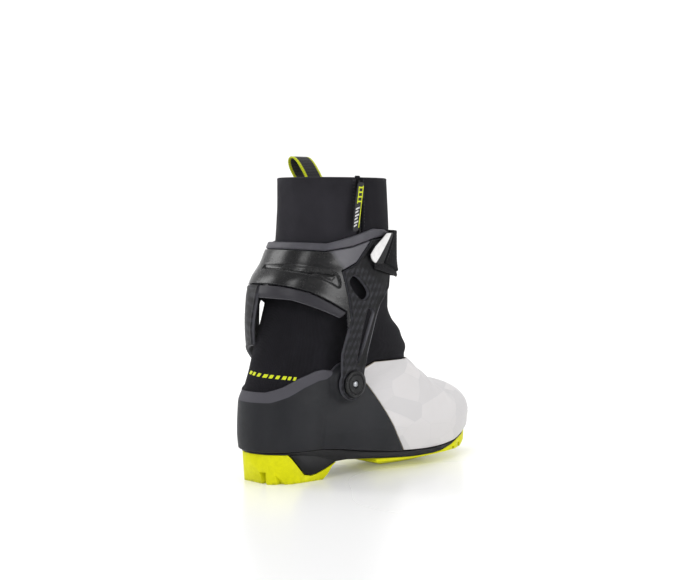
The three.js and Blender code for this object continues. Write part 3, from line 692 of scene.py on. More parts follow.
def plastic(name, dark, light, rough=(0.35, 0.5), depth=0.06, wave=0.25, specular=0.25, edge=None,
            satin=None):
    """Moulded plastic with fine grain and faint flow marks.
    edge is the paler tone of its worn rim, satin the tone of its matt part, where it has one."""
    f = Finish(name)
    fine = f.noise(0.7, 2, 0.6)
    flow = f.noise(26, 4, 0.6, stretch=(1, 1, 0.4))
    colour = f.blend(f.span(flow, 0.3, 0.75), dark, light)
    if edge is not None:
        patchy = f.span(f.noise(7, 3), 0.3, 0.7, 0.5, 1)
        pale_rim = f.times(f.span(f.value("rim"), 0.05, 0.9, 1, 0), patchy)
        colour = f.blend(pale_rim, colour, edge)
    scuff = f.noise(3.5, 6, 0.75, stretch=(0.35, 1, 1))
    shine = f.math("ADD", f.span(scuff, 0.3, 0.75, rough[0], rough[1]), f.times(fine, 0.03))
    if satin is not None:
        matted = f.span(f.value("satin"), 0, 5)
        colour = f.blend(matted, colour, satin)
        shine = f.math("ADD", shine, f.times(matted, 0.14))
    normal = f.bump(f.noise(11, 2), wave, 0.2, f.bump(fine, depth, 0.6))
    return f.finish(colour, shine, normal, specular=specular)


def carbon(name):
    """2 x 2 twill: tows of dark fibre that pass over two and under two, seen through clear lacquer."""
    f = Finish(name)
    tow = 2.6
    turn = (0, math.radians(45), 0)
    in_tows = f.split("ShaderNodeSeparateXYZ", f.stretched((1 / tow, 1 / tow, 1 / tow), turn))
    u, v = in_tows["X"], in_tows["Z"]
    column, row = f.math("FLOOR", u), f.math("FLOOR", v)
    phase = f.math("PINGPONG", f.math("SUBTRACT", column, row), 2.0)
    over = f.math("GREATER_THAN", f.math("FLOORED_MODULO", f.math("ADD", column, row), 4.0), 1.5)
    fibre_u, fibre_v = f.noise(0.5, 2, 0.6, (6, 1, 0.3)), f.noise(0.5, 2, 0.6, (0.3, 1, 6))
    crown_u = f.math("PINGPONG", f.times(f.math("FRACT", u), 2.0), 1.0)
    crown_v = f.math("PINGPONG", f.times(f.math("FRACT", v), 2.0), 1.0)
    height = f.blend(over, crown_u, crown_v)
    fibre = f.blend(over, fibre_u, fibre_v)
    tone = f.blend(over, rgb(22, 22, 25), rgb(42, 42, 47))
    tone = f.blend(f.times(phase, 0.08), tone, rgb(6, 6, 8))
    # Pale streaks along the fibres: a painted sheen.
    tone = f.blend(f.times(fibre, 0.3), tone, rgb(48, 48, 53))
    diagonal = f.span(f.bands("X", 2 * tow, turn=(0, math.radians(-32), 0)), 0.35, 0.65)
    tone = f.blend(f.times(diagonal, 0.6), tone, rgb(4, 4, 5))
    # The strut is drawn flat and dark: partly its own plain black, partly painted shade.
    tone = f.blend(f.value("strut"), tone, rgb(14, 14, 16))
    # Painted shade over the arm's upper front.
    tone = f.blend(f.value("insert"), tone, rgb(9, 9, 11))
    # A painted highlight along the arm's rim, palest at its very edge.
    pale_rim = f.span(f.value("rim"), 0.1, 0.7, 0.7, 0)
    tone = f.blend(pale_rim, tone, rgb(92, 92, 98))
    # Painted highlights: a bright line along the strut's bevel and over the arm's front bevel.
    bevel = f.span(f.value("rim"), 0.8, 1.4, 0.5, 0)
    bright = rgb(112, 112, 118)
    tone = f.blend(f.times(bevel, f.value("strut")), tone, bright)
    tone = f.blend(f.value("front"), tone, bright)
    normal = f.bump(height, 0.08, 0.4, f.bump(f.noise(9, 2), 0.2, 0.2))
    return f.finish(tone, f.span(f.noise(4, 5, 0.7), 0.3, 0.7, 0.38, 0.5), normal, specular=0.16)


def cover_cloth(name):
    """Coated off-white cloth with a faint print of folded facets and a bare beige cut edge."""
    f = Finish(name)
    facet, stretch = 24, (0.7, 1.2, 1.1)
    shade = f.split("ShaderNodeSeparateColor", f.cells(facet, stretch), "Color")["Red"]
    tone = f.blend(shade, rgb(196, 194, 195), rgb(210, 207, 207))
    border = f.cells(facet, stretch, "Distance", "DISTANCE_TO_EDGE")
    tone = f.blend(f.span(border, 0.0, 0.03, 0.25, 0), tone, rgb(190, 189, 191))
    tone = f.blend(f.span(f.noise(60, 3), 0.35, 0.75, 0, 0.35), tone, rgb(200, 198, 197))
    bare = f.span(f.value("rim"), 0.25, 0.55, 1, 0)
    tone = f.blend(f.times(bare, 0.7), tone, rgb(176, 158, 128))
    weave = f.times(f.bands("X", 0.9), f.bands("Y", 0.9))
    normal = f.bump(f.noise(14, 2), 0.9, 0.25, f.bump(f.noise(1.2, 3), 0.12, 0.5, f.bump(weave, 0.1, 0.4)))
    return f.finish(tone, f.span(f.noise(8, 4), 0.3, 0.7, 0.42, 0.58), normal, sheen=0.1, specular=0.4)


def rubber(name, colour, deep):
    """Dusty sole rubber with patchy painted shade, a darker olive, over its lowest 3 mm by the floor."""
    f = Finish(name)
    dust = f.noise(5, 6, 0.75)
    tone = f.blend(f.span(dust, 0.35, 0.75), colour, deep)
    height = f.split("ShaderNodeSeparateXYZ", f.at)["Z"]
    # Painted shade by the floor, in patches.
    floor_shade = f.times(f.span(height, 0.2, 3.0, 0.5, 0), f.span(f.noise(2, 4), 0.35, 0.65))
    tone = f.blend(floor_shade, tone, rgb(90, 96, 40))
    normal = f.bump(f.noise(0.5, 2), 0.06, 0.8, f.bump(f.noise(2.5, 5, 0.7), 0.12, 0.4))
    return f.finish(tone, f.span(dust, 0.3, 0.7, 0.45, 0.62), normal, specular=0.18)


def webbing(name, edge_width=2.6):
    """Ribbed webbing with lime yarns along both edges, by the distance from the edge in millimetres."""
    f = Finish(name)
    rib = f.times(f.bands("Z", 1.5), f.bands("X", 1.3))
    black = f.blend(f.noise(0.5, 3), rgb(14, 14, 16), rgb(44, 44, 48))
    yarn = f.blend(f.times(rib, 0.5), LIME, rgb(120, 138, 0))
    at_edge = f.span(f.value("edge"), edge_width, edge_width + 0.35, 1, 0)
    bare = f.span(f.value("edge"), 0.0, 0.2, 0.7, 1)
    dash = f.span(f.bands("Z", 1.9, turn=(0, 0.5, 0)), 0.25, 0.5, 0.72, 1)
    tone = f.blend(f.times(f.times(at_edge, bare), dash), black, yarn)
    normal = f.bump(rib, 0.5, 0.9, f.bump(f.noise(0.4, 2), 0.2, 0.5))
    return f.finish(tone, f.span(f.noise(3, 3), 0.3, 0.7, 0.75, 0.92), normal, sheen=0.2, specular=0.3)


def banded_coating(name):
    """White coating up to a slanted line, and black woven strap beyond it."""
    f = Finish(name)
    grain = f.noise(0.7, 3)
    weave = f.times(f.bands("Z", 1.4), f.bands("X", 1.4))
    white = f.blend(f.span(f.noise(5, 4), 0.3, 0.7), rgb(214, 213, 213), rgb(232, 231, 230))
    black = f.blend(f.times(weave, grain), rgb(14, 14, 16), rgb(44, 44, 48))
    coated = f.span(f.value("band"), -0.25, 0.25)
    tone = f.blend(coated, black, white)
    return f.finish(tone, f.span(grain, 0.3, 0.7, 0.45, 0.6), f.bump(grain, 0.1, 0.5), specular=0.3)


def fuzz(name):
    """Hook and loop pile."""
    f = Finish(name)
    pile = f.noise(0.8, 5, 0.8)
    tone = f.ramp(pile, 0.35, 0.75, rgb(6, 6, 8), rgb(38, 38, 42))
    normal = f.bump(pile, 1.2, 1.0)
    return f.finish(tone, f.span(pile, 0.3, 0.7, 0.9, 1.0), normal, sheen=0.12, specular=0.08)


def metal(name, colour):
    """Brushed bare metal."""
    f = Finish(name)
    brushed = f.noise(0.4, 3, 0.7, (0.2, 1, 1))
    tone = f.blend(f.span(f.noise(6, 4), 0.3, 0.7), colour, rgb(120, 122, 126))
    return f.finish(tone, f.span(brushed, 0.3, 0.7, 0.22, 0.4), f.bump(brushed, 0.03, 0.6), metal=1.0)


def fibre_board(name):
    """Pale board with short flecks of fibre."""
    f = Finish(name)
    flecks = f.noise(0.9, 5, 0.8, (0.4, 1, 1))
    tone = f.ramp(flecks, 0.35, 0.7, rgb(150, 134, 104), rgb(206, 190, 158))
    return f.finish(tone, 0.9, f.bump(flecks, 0.2, 0.7), specular=0.2)


def soft_rubber(name):
    """Dark soft rubber."""
    f = Finish(name)
    grain = f.noise(0.4, 3)
    tone = f.blend(grain, rgb(12, 12, 14), rgb(32, 32, 36))
    return f.finish(tone, f.span(f.noise(3, 4), 0.3, 0.7, 0.5, 0.65), f.bump(grain, 0.06, 0.6), specular=0.4)


def ink(name, colour, deep):
    """Patchy ink or thread."""
    f = Finish(name)
    patchy = f.noise(1.1, 4, 0.7)
    tone = f.blend(f.span(patchy, 0.35, 0.7, 0, 0.6), colour, deep)
    return f.finish(tone, f.span(patchy, 0.3, 0.7, 0.45, 0.65), f.bump(patchy, 0.05, 0.5), specular=0.4)


def studio_paint():
    f = Finish("studio_floor_paint")
    tone = f.blend(f.span(f.noise(400, 1), 0.3, 0.7), (0.93, 0.93, 0.93, 1), (0.935, 0.935, 0.935, 1))
    f.face.inputs["Emission Color"].default_value = (1, 1, 1, 1)
    f.face.inputs["Emission Strength"].default_value = 0.1
    return f.finish(tone, f.span(f.noise(300, 1), 0.3, 0.7, 0.26, 0.28), specular=0.4)


# ---------------------------------------------------------------- outlines in the side view
COVER_EDGE = [(146, 35), (133, 55), (119, 75), (106.4, 93.4), (110, 98), (126, 103.4), (150, 103), (186, 102),
              (210, 103)]
LIP_TOP = [(-10, 222), (26, 219), (42, 217), (63, 215.5), (87, 221), (115, 228), (132, 227), (141, 223)]
LIP_LOW = [(-10, 215), (18, 213.5), (31, 211.5), (60, 208.5), (88, 212), (115, 219), (132, 221), (141, 220)]
BAND_TOP = [(-10, 182), (7, 181), (22, 178.5), (40, 172.5), (58, 163.5), (78, 153)]
BAND_LOW = [(-10, 168), (7, 168), (26, 165.5), (51, 156), (71, 148)]
SHELL_BEVEL = 9.5
SHELL_RIM = [(-20, 83), (-2, 83), (10, 83), (22, 87), (37, 94), (54, 100), (62, 101)]
ARM_REAR = [(72.5, 115), (83.5, 145), (80, 166), (74.5, 190)]
ARM_TOP = [(93, 197), (113, 217.8), (128, 219), (137, 200), (139, 184)]
ARM_FRONT = [(136, 173), (121, 158), (115.5, 147), (104, 115)]
ARM_SLOT = [(89, 107.5), (91.5, 107.5), (110, 148), (111, 153), (106, 156), (102, 152)]
ARM_WINDOW = [(80, 178), (84, 185), (90, 186), (105, 171.5), (103, 165), (95.5, 162.5)]
PANEL_LOW = [(78, 152.4), (74, 149.5), (70, 152.2), (62, 157), (54, 161.6), (51.6, 157), (51, 131), (54, 114),
             (67, 100), (84, 92), (78, 79.6), (61, 88), (45, 101), (28, 114), (17, 122), (8, 130), (-10, 136)]
FORK_ROOM = [(73.9, 190.4), (92.6, 197.6), (114.5, 221), (160, 240), (160, 60), (60, 60), (72, 115),
             (83, 145), (79.5, 166)]
LEAF = [(14, 197.5), (33, 197), (52, 193), (70, 189.5), (72, 172.5), (60, 180), (44, 188), (26, 193)]
VENT = [(30, 194), (48, 191.6), (67, 189), (67, 187.2), (46, 189.6), (31, 192.2)]
FACET = [(43, 189.4), (68, 186.6), (62, 180.6)]


def feather_line(start, end):
    """A line a seam's gap above the sole's upper edge."""
    return [(x, float(feather(x)) + SEAM_GAP) for x in np.linspace(start, end, 24)]


def lowered(line):
    """The line a seam's gap lower."""
    return [(x, z - SEAM_GAP) for x, z in line]


def band_between(top, low):
    return inside(list(top) + list(low)[::-1])


# ---------------------------------------------------------------- points on the forms
def leaving(distance, start, ways, far):
    """Where rays from inside a form leave it, and its normals there."""
    near, far = np.zeros(len(start)), np.full(len(start), far)
    for _ in range(40):
        middle = (near + far) / 2
        out = distance(start + ways * middle[:, None]) > 0
        near, far = np.where(out, near, middle), np.where(out, middle, far)
    points = start + ways * near[:, None]
    return points, unit(gradient(distance, points, 0.8))


def on_side(distance, line, side, height):
    """Points and normals on one side of a form, height above it, under a side-view line."""
    x, z = np.asarray(line, float).T
    points, normals = leaving(distance, np.stack([x, 0 * x, z], 1), np.array([(0.0, side, 0.0)]), 80.0)
    return points + normals * height, normals


def behind_heel(turns, heights, lift):
    """Points round the heel, lift above the upper: turns are in degrees about an upright line in it."""
    turns = np.radians(turns)
    ways = np.stack([np.cos(turns), np.sin(turns), 0 * turns], 1)
    start = np.stack([0 * turns + HEEL_MIDDLE, 0 * turns, heights], 1)
    points, normals = leaving(body_distance, start, ways, 140.0)
    return points + normals * lift[:, None]


# ---------------------------------------------------------------- solid pieces
STITCH = ((0, 0.35), (0.2, 1), (0.8, 1), (1, 0.35))  # along one stitch, its thickness as a share
STITCH_RADIUS = 0.3
STITCH_SHARE = 0.62  # of its pitch; the rest is the gap to the next


def stitches(name, lines, body, slot, pitch):
    """Short rounded stitches along lines of points, joined in one mesh."""
    turns = np.linspace(0, 2 * math.pi, 6, endpoint=False)[:, None]
    made = []
    for line in lines:
        length = np.linalg.norm(np.diff(line, axis=0), axis=1).sum()
        even = spaced(line, max(2, int(length / pitch)))
        for start, end in zip(even[:-1], even[1:]):
            along = (end - start) * STITCH_SHARE
            side = unit(np.cross(unit(along), (0.31, 0.43, 0.85)))
            ring = (side * np.cos(turns) + np.cross(unit(along), side) * np.sin(turns)) * STITCH_RADIUS
            made.append(lofted([start + along * t + ring * r for t, r in STITCH]))
    finish_piece(piece(name, *joined(made)), body, "thread", slot)


def lathe(name, profile, side, centre, body, finish, slot, *nodes, steps=96):
    """A turned piece on an axis along Y: profile holds (radius, distance from the middle plane)."""
    turns = np.linspace(0, 2 * math.pi, steps, endpoint=False)
    rings = []
    for radius, reach in profile:
        x, z = centre[0] + radius * np.cos(turns), centre[1] + radius * np.sin(turns)
        rings.append(np.stack([x, np.full(steps, side * reach), z], 1))
    made = piece(name, *lofted(rings, flip=side < 0))
    soften(made, 0.25, 25)
    finish_piece(made, body, finish, slot, *nodes)


def plate(name, outline, near, far, bevel, body, finish, slot, *nodes):
    """A flat piece on the outer side, between two distances from the middle plane."""
    made = piece(name, *lofted([[(x, OUTER * reach, z) for x, z in outline] for reach in (near, far)]))
    made.data.validate()
    turn_outward(made)
    soften(made, bevel, 25)
    finish_piece(made, body, finish, slot, *nodes)


def soften(made, width, angle):
    """Rounds the edges that are sharper than the angle, in degrees, by the width in millimetres."""
    bevel = made.modifiers.new("soft_edges", "BEVEL")
    bevel.width = width / 1000
    bevel.segments = 2
    bevel.limit_method = "ANGLE"
    bevel.angle_limit = math.radians(angle)
    bevel.harden_normals = True
    graph = bpy.context.evaluated_depsgraph_get()
    bevelled = made.evaluated_get(graph)
    mesh = bpy.data.meshes.new_from_object(bevelled, preserve_all_data_layers=True, depsgraph=graph)
    made.modifiers.clear()
    made.data = mesh
    made.data.shade_smooth()


def turn_outward(made):
    work = bmesh.new()
    work.from_mesh(made.data)
    bmesh.ops.recalc_face_normals(work, faces=work.faces)
    work.to_mesh(made.data)
    work.free()


# ---------------------------------------------------------------- soft upper
def cloth_folds(points, value):
    """Soft creases where the sock bends at the ankle and over the heel."""
    x, y, z = points.T
    around = np.arctan2(y, x - 95)
    bend = np.exp(-((z - 122) / 22) ** 2)
    crease = np.sin(z * 0.32 + 1.4 * np.sin(around * 2.0) + 0.02 * x) * bend
    drift = np.sin(around * 5 + z * 0.05) * np.exp(-((z - 160) / 35) ** 2)
    return 0.55 * crease * step(30, 90, x) + 0.35 * drift


def soft_upper(form):
    seam = [(x - 1, z) if i < 4 else (x, z + 0.8) for i, (x, z) in enumerate(COVER_EDGE)]
    sock = inside([(-20, 26)] + feather_line(0, 156) + seam + [(215, SLEEVE_TOP), (-20, SLEEVE_TOP)])
    upper = skin("stretch_sock", form, sock, None, "stretch", "stretch_fabric", "heel_sock", "ankle_sleeve",
                 relief=cloth_folds)
    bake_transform(upper)

    cover = inside(feather_line(158.5, 292) + [(300, 60), (300, 120)] + COVER_EDGE[::-1])
    skin("forefoot_cover_cloth", form, cover, "boot", "cover", "cover_fabric", "forefoot_cover",
         relief=cover_wrinkles)
    vamp = inside(feather_line(150, 300) + [(300, 140), (180, 110), (116, 106), (100, 90), (138, 35)])
    skin("vamp_lining", form, vamp, "boot", "darker_softshell", "softshell", "vamp")
    tongue = both(inside([(165, 58), (236, 58), (236, 112), (165, 112)]), lambda p: 23 - np.abs(p[:, 1] - 1),
                  lambda p: p[:, 2] - 56)
    skin("tongue_pad", form, tongue, "boot", "darker_softshell", "softshell", "tongue")


def cover_wrinkles(points, value):
    x, y, z = points.T
    flex = np.exp(-((x - 205) / 18) ** 2) * step(45, 70, z)
    return 0.5 * flex * np.sin(x * 0.42 + 0.03 * y) + 0.3 * np.sin(x * 0.11 + y * 0.09) * step(40, 60, z)


def heel_dashes():
    """A broken lime line of slanted dashes printed round the back of the sock."""
    u, v = (grid.ravel() for grid in np.meshgrid(np.linspace(0, 1, 7), np.linspace(0, 1, 5)))
    rim = np.minimum(np.minimum(u, 1 - u) * 6, np.minimum(v, 1 - v) * 4)
    lift = np.where(rim < 0.01, -0.3, 0.32)
    dashes = []
    first, pitch, lean, tall = 171, 6.6, 2.2, 4.2
    for i in range(9):
        wide = 4.4 if i % 3 else 5.4
        turns = first + i * pitch + u * wide + v * lean
        heights = 97.5 - 5.5 * (turns - first) / 58 + v * tall
        dashes.append((behind_heel(turns, heights, lift), quads(5, 7, closed=False)))
    finish_piece(piece("heel_dash_print", *joined(dashes)), "boot", "lime_ink", "stretch_fabric")


# ---------------------------------------------------------------- heel shell and pivots
def shell_relief(points, value):
    """The bevel under the rim, the flat boss round each pivot and the soft dent about it."""
    x, y, z = points.T
    bevel = np.clip(1 - to_line(points, SHELL_RIM) / SHELL_BEVEL, 0, 1)
    radius = np.hypot(x - PIVOT[0], z - PIVOT[1])
    surface = np.abs(y) + LAYERS["heel_shell_moulding"][1]
    boss = np.maximum(44.6 - surface, 0) * (1 - step(14, 19.5, radius))
    dent = np.exp(-((radius - 20.5) / 2.2) ** 2) * step(60, 75, x)
    return boss - 1.5 * bevel * step(15, 19, radius) - 0.35 * dent


def shell_satin(points):
    """Above 0 on the bevel under the shell's rim; the finish turns satin over the next 5."""
    return 8 * (SHELL_BEVEL - to_line(points, SHELL_RIM))


def heel_shell(form):
    front = [(104, 93), (118, 75), (132, 55), (145, 35)]
    outline = SHELL_RIM + arc(*PIVOT, 19, 140, 25, 18) + front + feather_line(-20, 157.4)[::-1]
    skin("heel_shell_moulding", form, inside(outline), "boot", "shell", "shell_plastic", "heel_shell",
         relief=shell_relief, marks={"satin": shell_satin})


def pivots():
    head = [(4.5, 40.6), (4.5, 50.8), (11.4, 50.8), (12.2, 51.3), (12.4, 52.2), (12.1, 53.0), (11.2, 53.5),
            (9.6, 53.6), (9.3, 52.9), (8.5, 52.9), (8.2, 53.6), (5.2, 53.7), (3.9, 53.6), (3.4, 53.0),
            (3.1, 52.5), (0.6, 52.3)]
    pin = [(2.9, 52.0), (2.9, 52.9), (2.3, 53.5), (1.2, 53.85), (0.2, 53.9)]
    for name, side in SIDES:
        lathe(f"pivot_cap_{name}", head, side, PIVOT, "boot", "cap", "shell_plastic", f"pivot_rivet_{name}")
        lathe(f"pivot_pin_{name}", pin, side, PIVOT, "boot", "steel", "steel", steps=48)


# ---------------------------------------------------------------- cuff
def cuff_folds(points, value):
    """The shell's moulded relief: leaf-shaped recess, flared skirt and softened front facet."""
    leaf = inside(smooth(LEAF, 2))(points)
    vent = inside(VENT)(points)
    facet = inside(FACET)(points)
    outer = points[:, 1] < 12
    recess = -1.5 * step(-0.4, 1.6, leaf)
    slot = -1.6 * step(-0.2, 0.8, vent)
    raised = 0.9 * step(-0.3, 2.2, facet)
    skirt = np.clip(1 - to_line(points, BAND_TOP) / 5, 0, 1)
    return (recess + slot + raised) * outer + 0.5 * skirt**2


def cuff_satin_and_highlight(points):
    """The matt front part of the moulding, ahead of a line that leans forward as it falls; its lighter tone
    there is partly the real satin grey, partly a painted highlight.
    """
    return np.minimum(beside(points, (62.7, 207.6), (12, -16.8)), points[:, 2] - 182)


def rim_relief(points, value):
    """A rim that is proud at its top and drawn in at its foot."""
    top = to_line(points, BAND_TOP)
    low = to_line(points, BAND_LOW)
    share = top / np.maximum(top + low, 1e-6)
    return 0.9 * (1 - share) - 1.1 * step(0.72, 1, share)


def arm_relief(points, value):
    """A raised border, and a low boss round the pivot."""
    raised = 0.5 * step(0, 1.6, value) - 0.5 * step(2.2, 3.4, value)
    radius = np.hypot(points[:, 0] - PIVOT[0], points[:, 2] - PIVOT[1])
    return raised + 0.5 * (1 - step(13, 17, radius))


def panel_edge(p):
    """The inner panel's rear edge: it leans further to the inner side towards its lower end."""
    return p[:, 1] - 4 - 5 * (1 - step(134, 170, p[:, 2]))


def arm_strut(points):
    """The smooth moulded strut ahead of the arm's slot; the carbon finish paints it dark, partly its own
    plain black and partly painted shade, and lines its bevel with a painted highlight.
    """
    ahead = beside(points, (92.5, 107.5), (-19.5, -45.5))
    return step(-0.4, 0.4, ahead) * (1 - step(162, 171, points[:, 2])) * step(100, 104, points[:, 2])


def arm_top_shade(points):
    """Painted shade over the upper front of the arm, above a line that falls towards the front."""
    return 0.8 * step(-2, 2, beside(points, (93, 197), (37, -26)))


def arm_front(points):
    """The moulded bevel along the arm's front edge, where the carbon finish paints a bright highlight."""
    near = 1 - step(1.2, 2.1, to_line(points, ARM_FRONT[1:] + [(102, 100)]))
    return 0.85 * near * step(99, 104, points[:, 2]) * (1 - step(155, 160, points[:, 2]))


def arm_field(side):
    """An arm's outline with its two openings; the inner arm carries the inner panel."""
    lobe = arc(*PIVOT, 15.2, 30, -210, 30)
    outline = inside(lobe + ARM_REAR + ARM_TOP + ARM_FRONT)
    blade = without(outline, inside(smooth(ARM_SLOT, 2)), inside(smooth(ARM_WINDOW, 2)))
    if side == INNER:
        blade = either(blade, both(inside(lowered(BAND_TOP) + PANEL_LOW[1:]), panel_edge))
    return both(blade, side_of(side, 2))


def cuff(form):
    for name, side in SIDES:
        skin(f"carbon_arm_{name}", form, arm_field(side), "cuff", "carbon", "carbon", f"arm_{name}",
             relief=arm_relief, marks={"strut": arm_strut, "front": arm_front, "insert": arm_top_shade})
    rooms = inside(FORK_ROOM)
    shell = inside(lowered(LIP_LOW) + [(141, 60), (90, 60)] + BAND_TOP[::-1])
    skin("cuff_moulding", form, without(shell, rooms), "cuff", "gloss", "cuff_plastic", "cuff_shell",
         relief=cuff_folds, marks={"satin": cuff_satin_and_highlight})
    rim = both(band_between(lowered(BAND_TOP), BAND_LOW), lambda p: 3.6 - p[:, 1])
    skin("cuff_lower_rim", form, without(rim, rooms), "cuff", "trim", "trim_plastic", "cuff_lower_trim",
         relief=rim_relief)
    lip = band_between(LIP_TOP, LIP_LOW)
    skin("cuff_upper_lip", form, lip, "cuff", "lip", "trim_plastic", "cuff_top_trim")


# ---------------------------------------------------------------- strap
def strap_pieces(form):
    def sides(outer, inner):
        return either(both(inside(outer), side_of(OUTER, -0.6)), both(inside(inner), side_of(INNER, -0.6)))

    main = sides([(124, 196), (150, 187), (190, 187), (190, 226), (145, 226), (141, 224)],
                 [(132, 191), (190, 187), (190, 226), (132, 222)])
    skin("strap_webbing", form, main, "strap", "strap", "strap_fabric", "strap", relief=strap_ribs)
    pad = sides([(112, 191), (150, 182), (190, 182), (190, 226), (129, 224), (110, 207)],
                [(132, 186), (190, 182), (190, 226), (132, 222)])
    skin("strap_pile", form, pad, "strap", "fuzz", "hook_pad", "strap_backing", relief=pile_relief)
    tip = inside([(106.6, 204.5), (107, 201.5), (110, 197.5), (113.5, 195.4), (117.5, 194.5), (123.4, 196),
                  (140.4, 224), (129, 223.6), (113, 212)])
    skin("strap_grip", form, both(tip, side_of(OUTER, 0)), "strap", "white", "strap_white", "strap_tip",
         marks={"band": white_band})
    patch = inside([(108, 199), (122, 190), (135, 187), (135, 205), (128, 216), (114, 216)])
    skin("pile_patch", form, both(patch, side_of(OUTER, 10)), "cuff", "fuzz", "hook_pad", "loop_patch")
    tab = inside(smooth([(108, 190), (131.2, 187), (131.2, 222), (108, 218)], 1))
    skin("strap_anchor", form, both(tab, side_of(INNER, 10)), "cuff", "strap", "strap_fabric", "strap_tab")
    head = [(3, 45), (3, 52.2), (5.1, 52.4), (5.5, 52.9), (5.2, 53.7), (4.1, 54), (0.5, 54.1)]
    lathe("strap_rivet_cap", head, INNER, (118, 205), "cuff", "cap", "trim_plastic", "strap_rivet", steps=48)


def white_band(points):
    """Distance to the rear of the slanted line where the grip's white coating ends."""
    return beside(points, (111.3, 194.9), (24.3, 28.9))


def strap_ribs(points, value):
    return 0.12 * np.sin(points[:, 2] * 2.2) * step(1, 2, value)


def pile_relief(points, value):
    x, y, z = points.T
    return 0.35 * np.sin(x * 1.9 + z * 0.7) * np.sin(y * 1.7 - z * 1.3) * step(0.3, 1.5, value)


# ---------------------------------------------------------------- collar, zip and loop
def collar_folds(points, value):
    """Long soft folds that run down the back and sides of the collar, flat at its seams."""
    x, y, z = points.T
    around = np.arctan2(y, x - 100)
    folds = np.sin(around * 7 + 0.6 * np.sin(z * 0.05)) * 0.55 + np.sin(around * 13 + z * 0.06) * 0.25
    rear = 1 - step(88, 106, x)
    front = step(104, 118, x)
    return (folds * (rear + 0.7 * front)) * step(2, 9, value)


def collar_half(sign):
    """Half of the collar's ring, behind (-1) or ahead (1) of the zip and of the inner seam."""
    def field(p):
        level = np.minimum(p[:, 2] - COLLAR["low"], COLLAR["high"] - p[:, 2])
        at_zip = sign * (p[:, 0] - ZIP_X) - 3.05
        at_seam = sign * (p[:, 0] - COLLAR["seam"]) - 0.05
        return np.minimum(level, np.where(p[:, 1] < 0, at_zip, at_seam))

    return field


def collar(form):
    # The front half gets the darker softshell as painted shade, since that side turns away from the light.
    for name, sign, finish in (("rear", -1, "softshell"), ("front", 1, "darker_softshell")):
        made = skin(f"collar_{name}_cloth", form, collar_half(sign), "cuff", finish, "softshell",
                    f"collar_{name}", relief=collar_folds)
    tape = both(lambda p: np.minimum(p[:, 2] - COLLAR["low"], COLLAR["high"] + 1.4 - p[:, 2]),
                lambda p: 3 - np.abs(p[:, 0] - ZIP_X), side_of(OUTER, 0))
    skin("zip_tape_cloth", form, tape, "cuff", "stretch", "stretch_fabric", "zip_tape")


def zip_teeth():
    """Moulded teeth that meet in turn from the left and the right."""
    corners = ((-1.3, -0.45), (1.3, -0.45), (1.3, 0.45), (-1.3, 0.45))
    teeth = []
    for i, z in enumerate(np.arange(206.4, 272, 1.3)):
        (foot,), (out,) = on_side(body_distance, [(ZIP_X, z)], OUTER, -0.6)
        lean = 0.35 if i % 2 else -0.35
        rings = []
        for height, grow in ((0, 1), (0.75, 1), (1.05, 0.7)):
            rings.append([foot + out * height + (u * grow + lean, 0, w * grow) for u, w in corners])
        teeth.append(lofted(rings, flip=True))
    made = piece("zip_teeth_row", *joined(teeth), smooth_shading=False)
    turn_outward(made)
    finish_piece(made, "cuff", "cap", "zip_plastic", "zip_teeth")


def zip_slider():
    outline = smooth([(95.6, 257), (97, 256.2), (101, 256.2), (102.4, 257), (102, 264), (101.4, 270),
                      (96.6, 270), (96, 264)], 2)
    plate("zip_slider_body", outline, 44.9, 46.5, 0.5, "zip_slider", "cap", "zip_plastic", "zip_slider")
    bridge = smooth([(98, 258), (100, 258), (100.3, 264), (97.7, 264)], 2)
    plate("zip_slider_bridge", bridge, 46.4, 47.1, 0.3, "zip_slider", "cap", "zip_plastic")


def on_tag(x, z):
    """A point on the tag, x from its middle line, which leans back towards its lower end."""
    return 96 + x - 7 * (270.5 - z) / 45, z


def bar_on_tag(name, x0, x1, z0, z1, finish, slant=0.0):
    corners = [on_tag(x0, z0), on_tag(x1, z0 + slant), on_tag(x1, z1 + slant), on_tag(x0, z1)]
    plate(name, corners, 48.7, 49.0, 0.1, "zip_puller", finish, "tag_rubber")


def tag():
    corners = [(-4, 267.5), (-2.4, 270.3), (2.8, 270.4), (4, 268.5), (4, 229), (2.6, 225.7), (-2.6, 225.6),
               (-4, 229)]
    outline = smooth([on_tag(x, z) for x, z in corners], 2)
    plate("zip_tag", outline, 47.6, 48.8, 0.35, "zip_puller", "tag", "tag_rubber", "zip_puller")
    bar_on_tag("tag_edge_line", 2.9, 3.7, 229, 267, "lime_ink")
    bar_on_tag("tag_ladder_rail", -2.0, -1.2, 251, 266.5, "lime_ink")
    for i, z in enumerate((252.2, 256.4, 260.6, 264.8)):
        bar_on_tag(f"tag_rung_{i}", -1.2, 2.9, z, z + 1.3, "lime_ink")
    for i, z in enumerate(np.arange(229.5, 248, 3.1)):
        bar_on_tag(f"tag_hatch_{i}", -2.8, 0.6 + 1.2 * (i % 2), z, z + 1.5, "white_ink", slant=1.6)


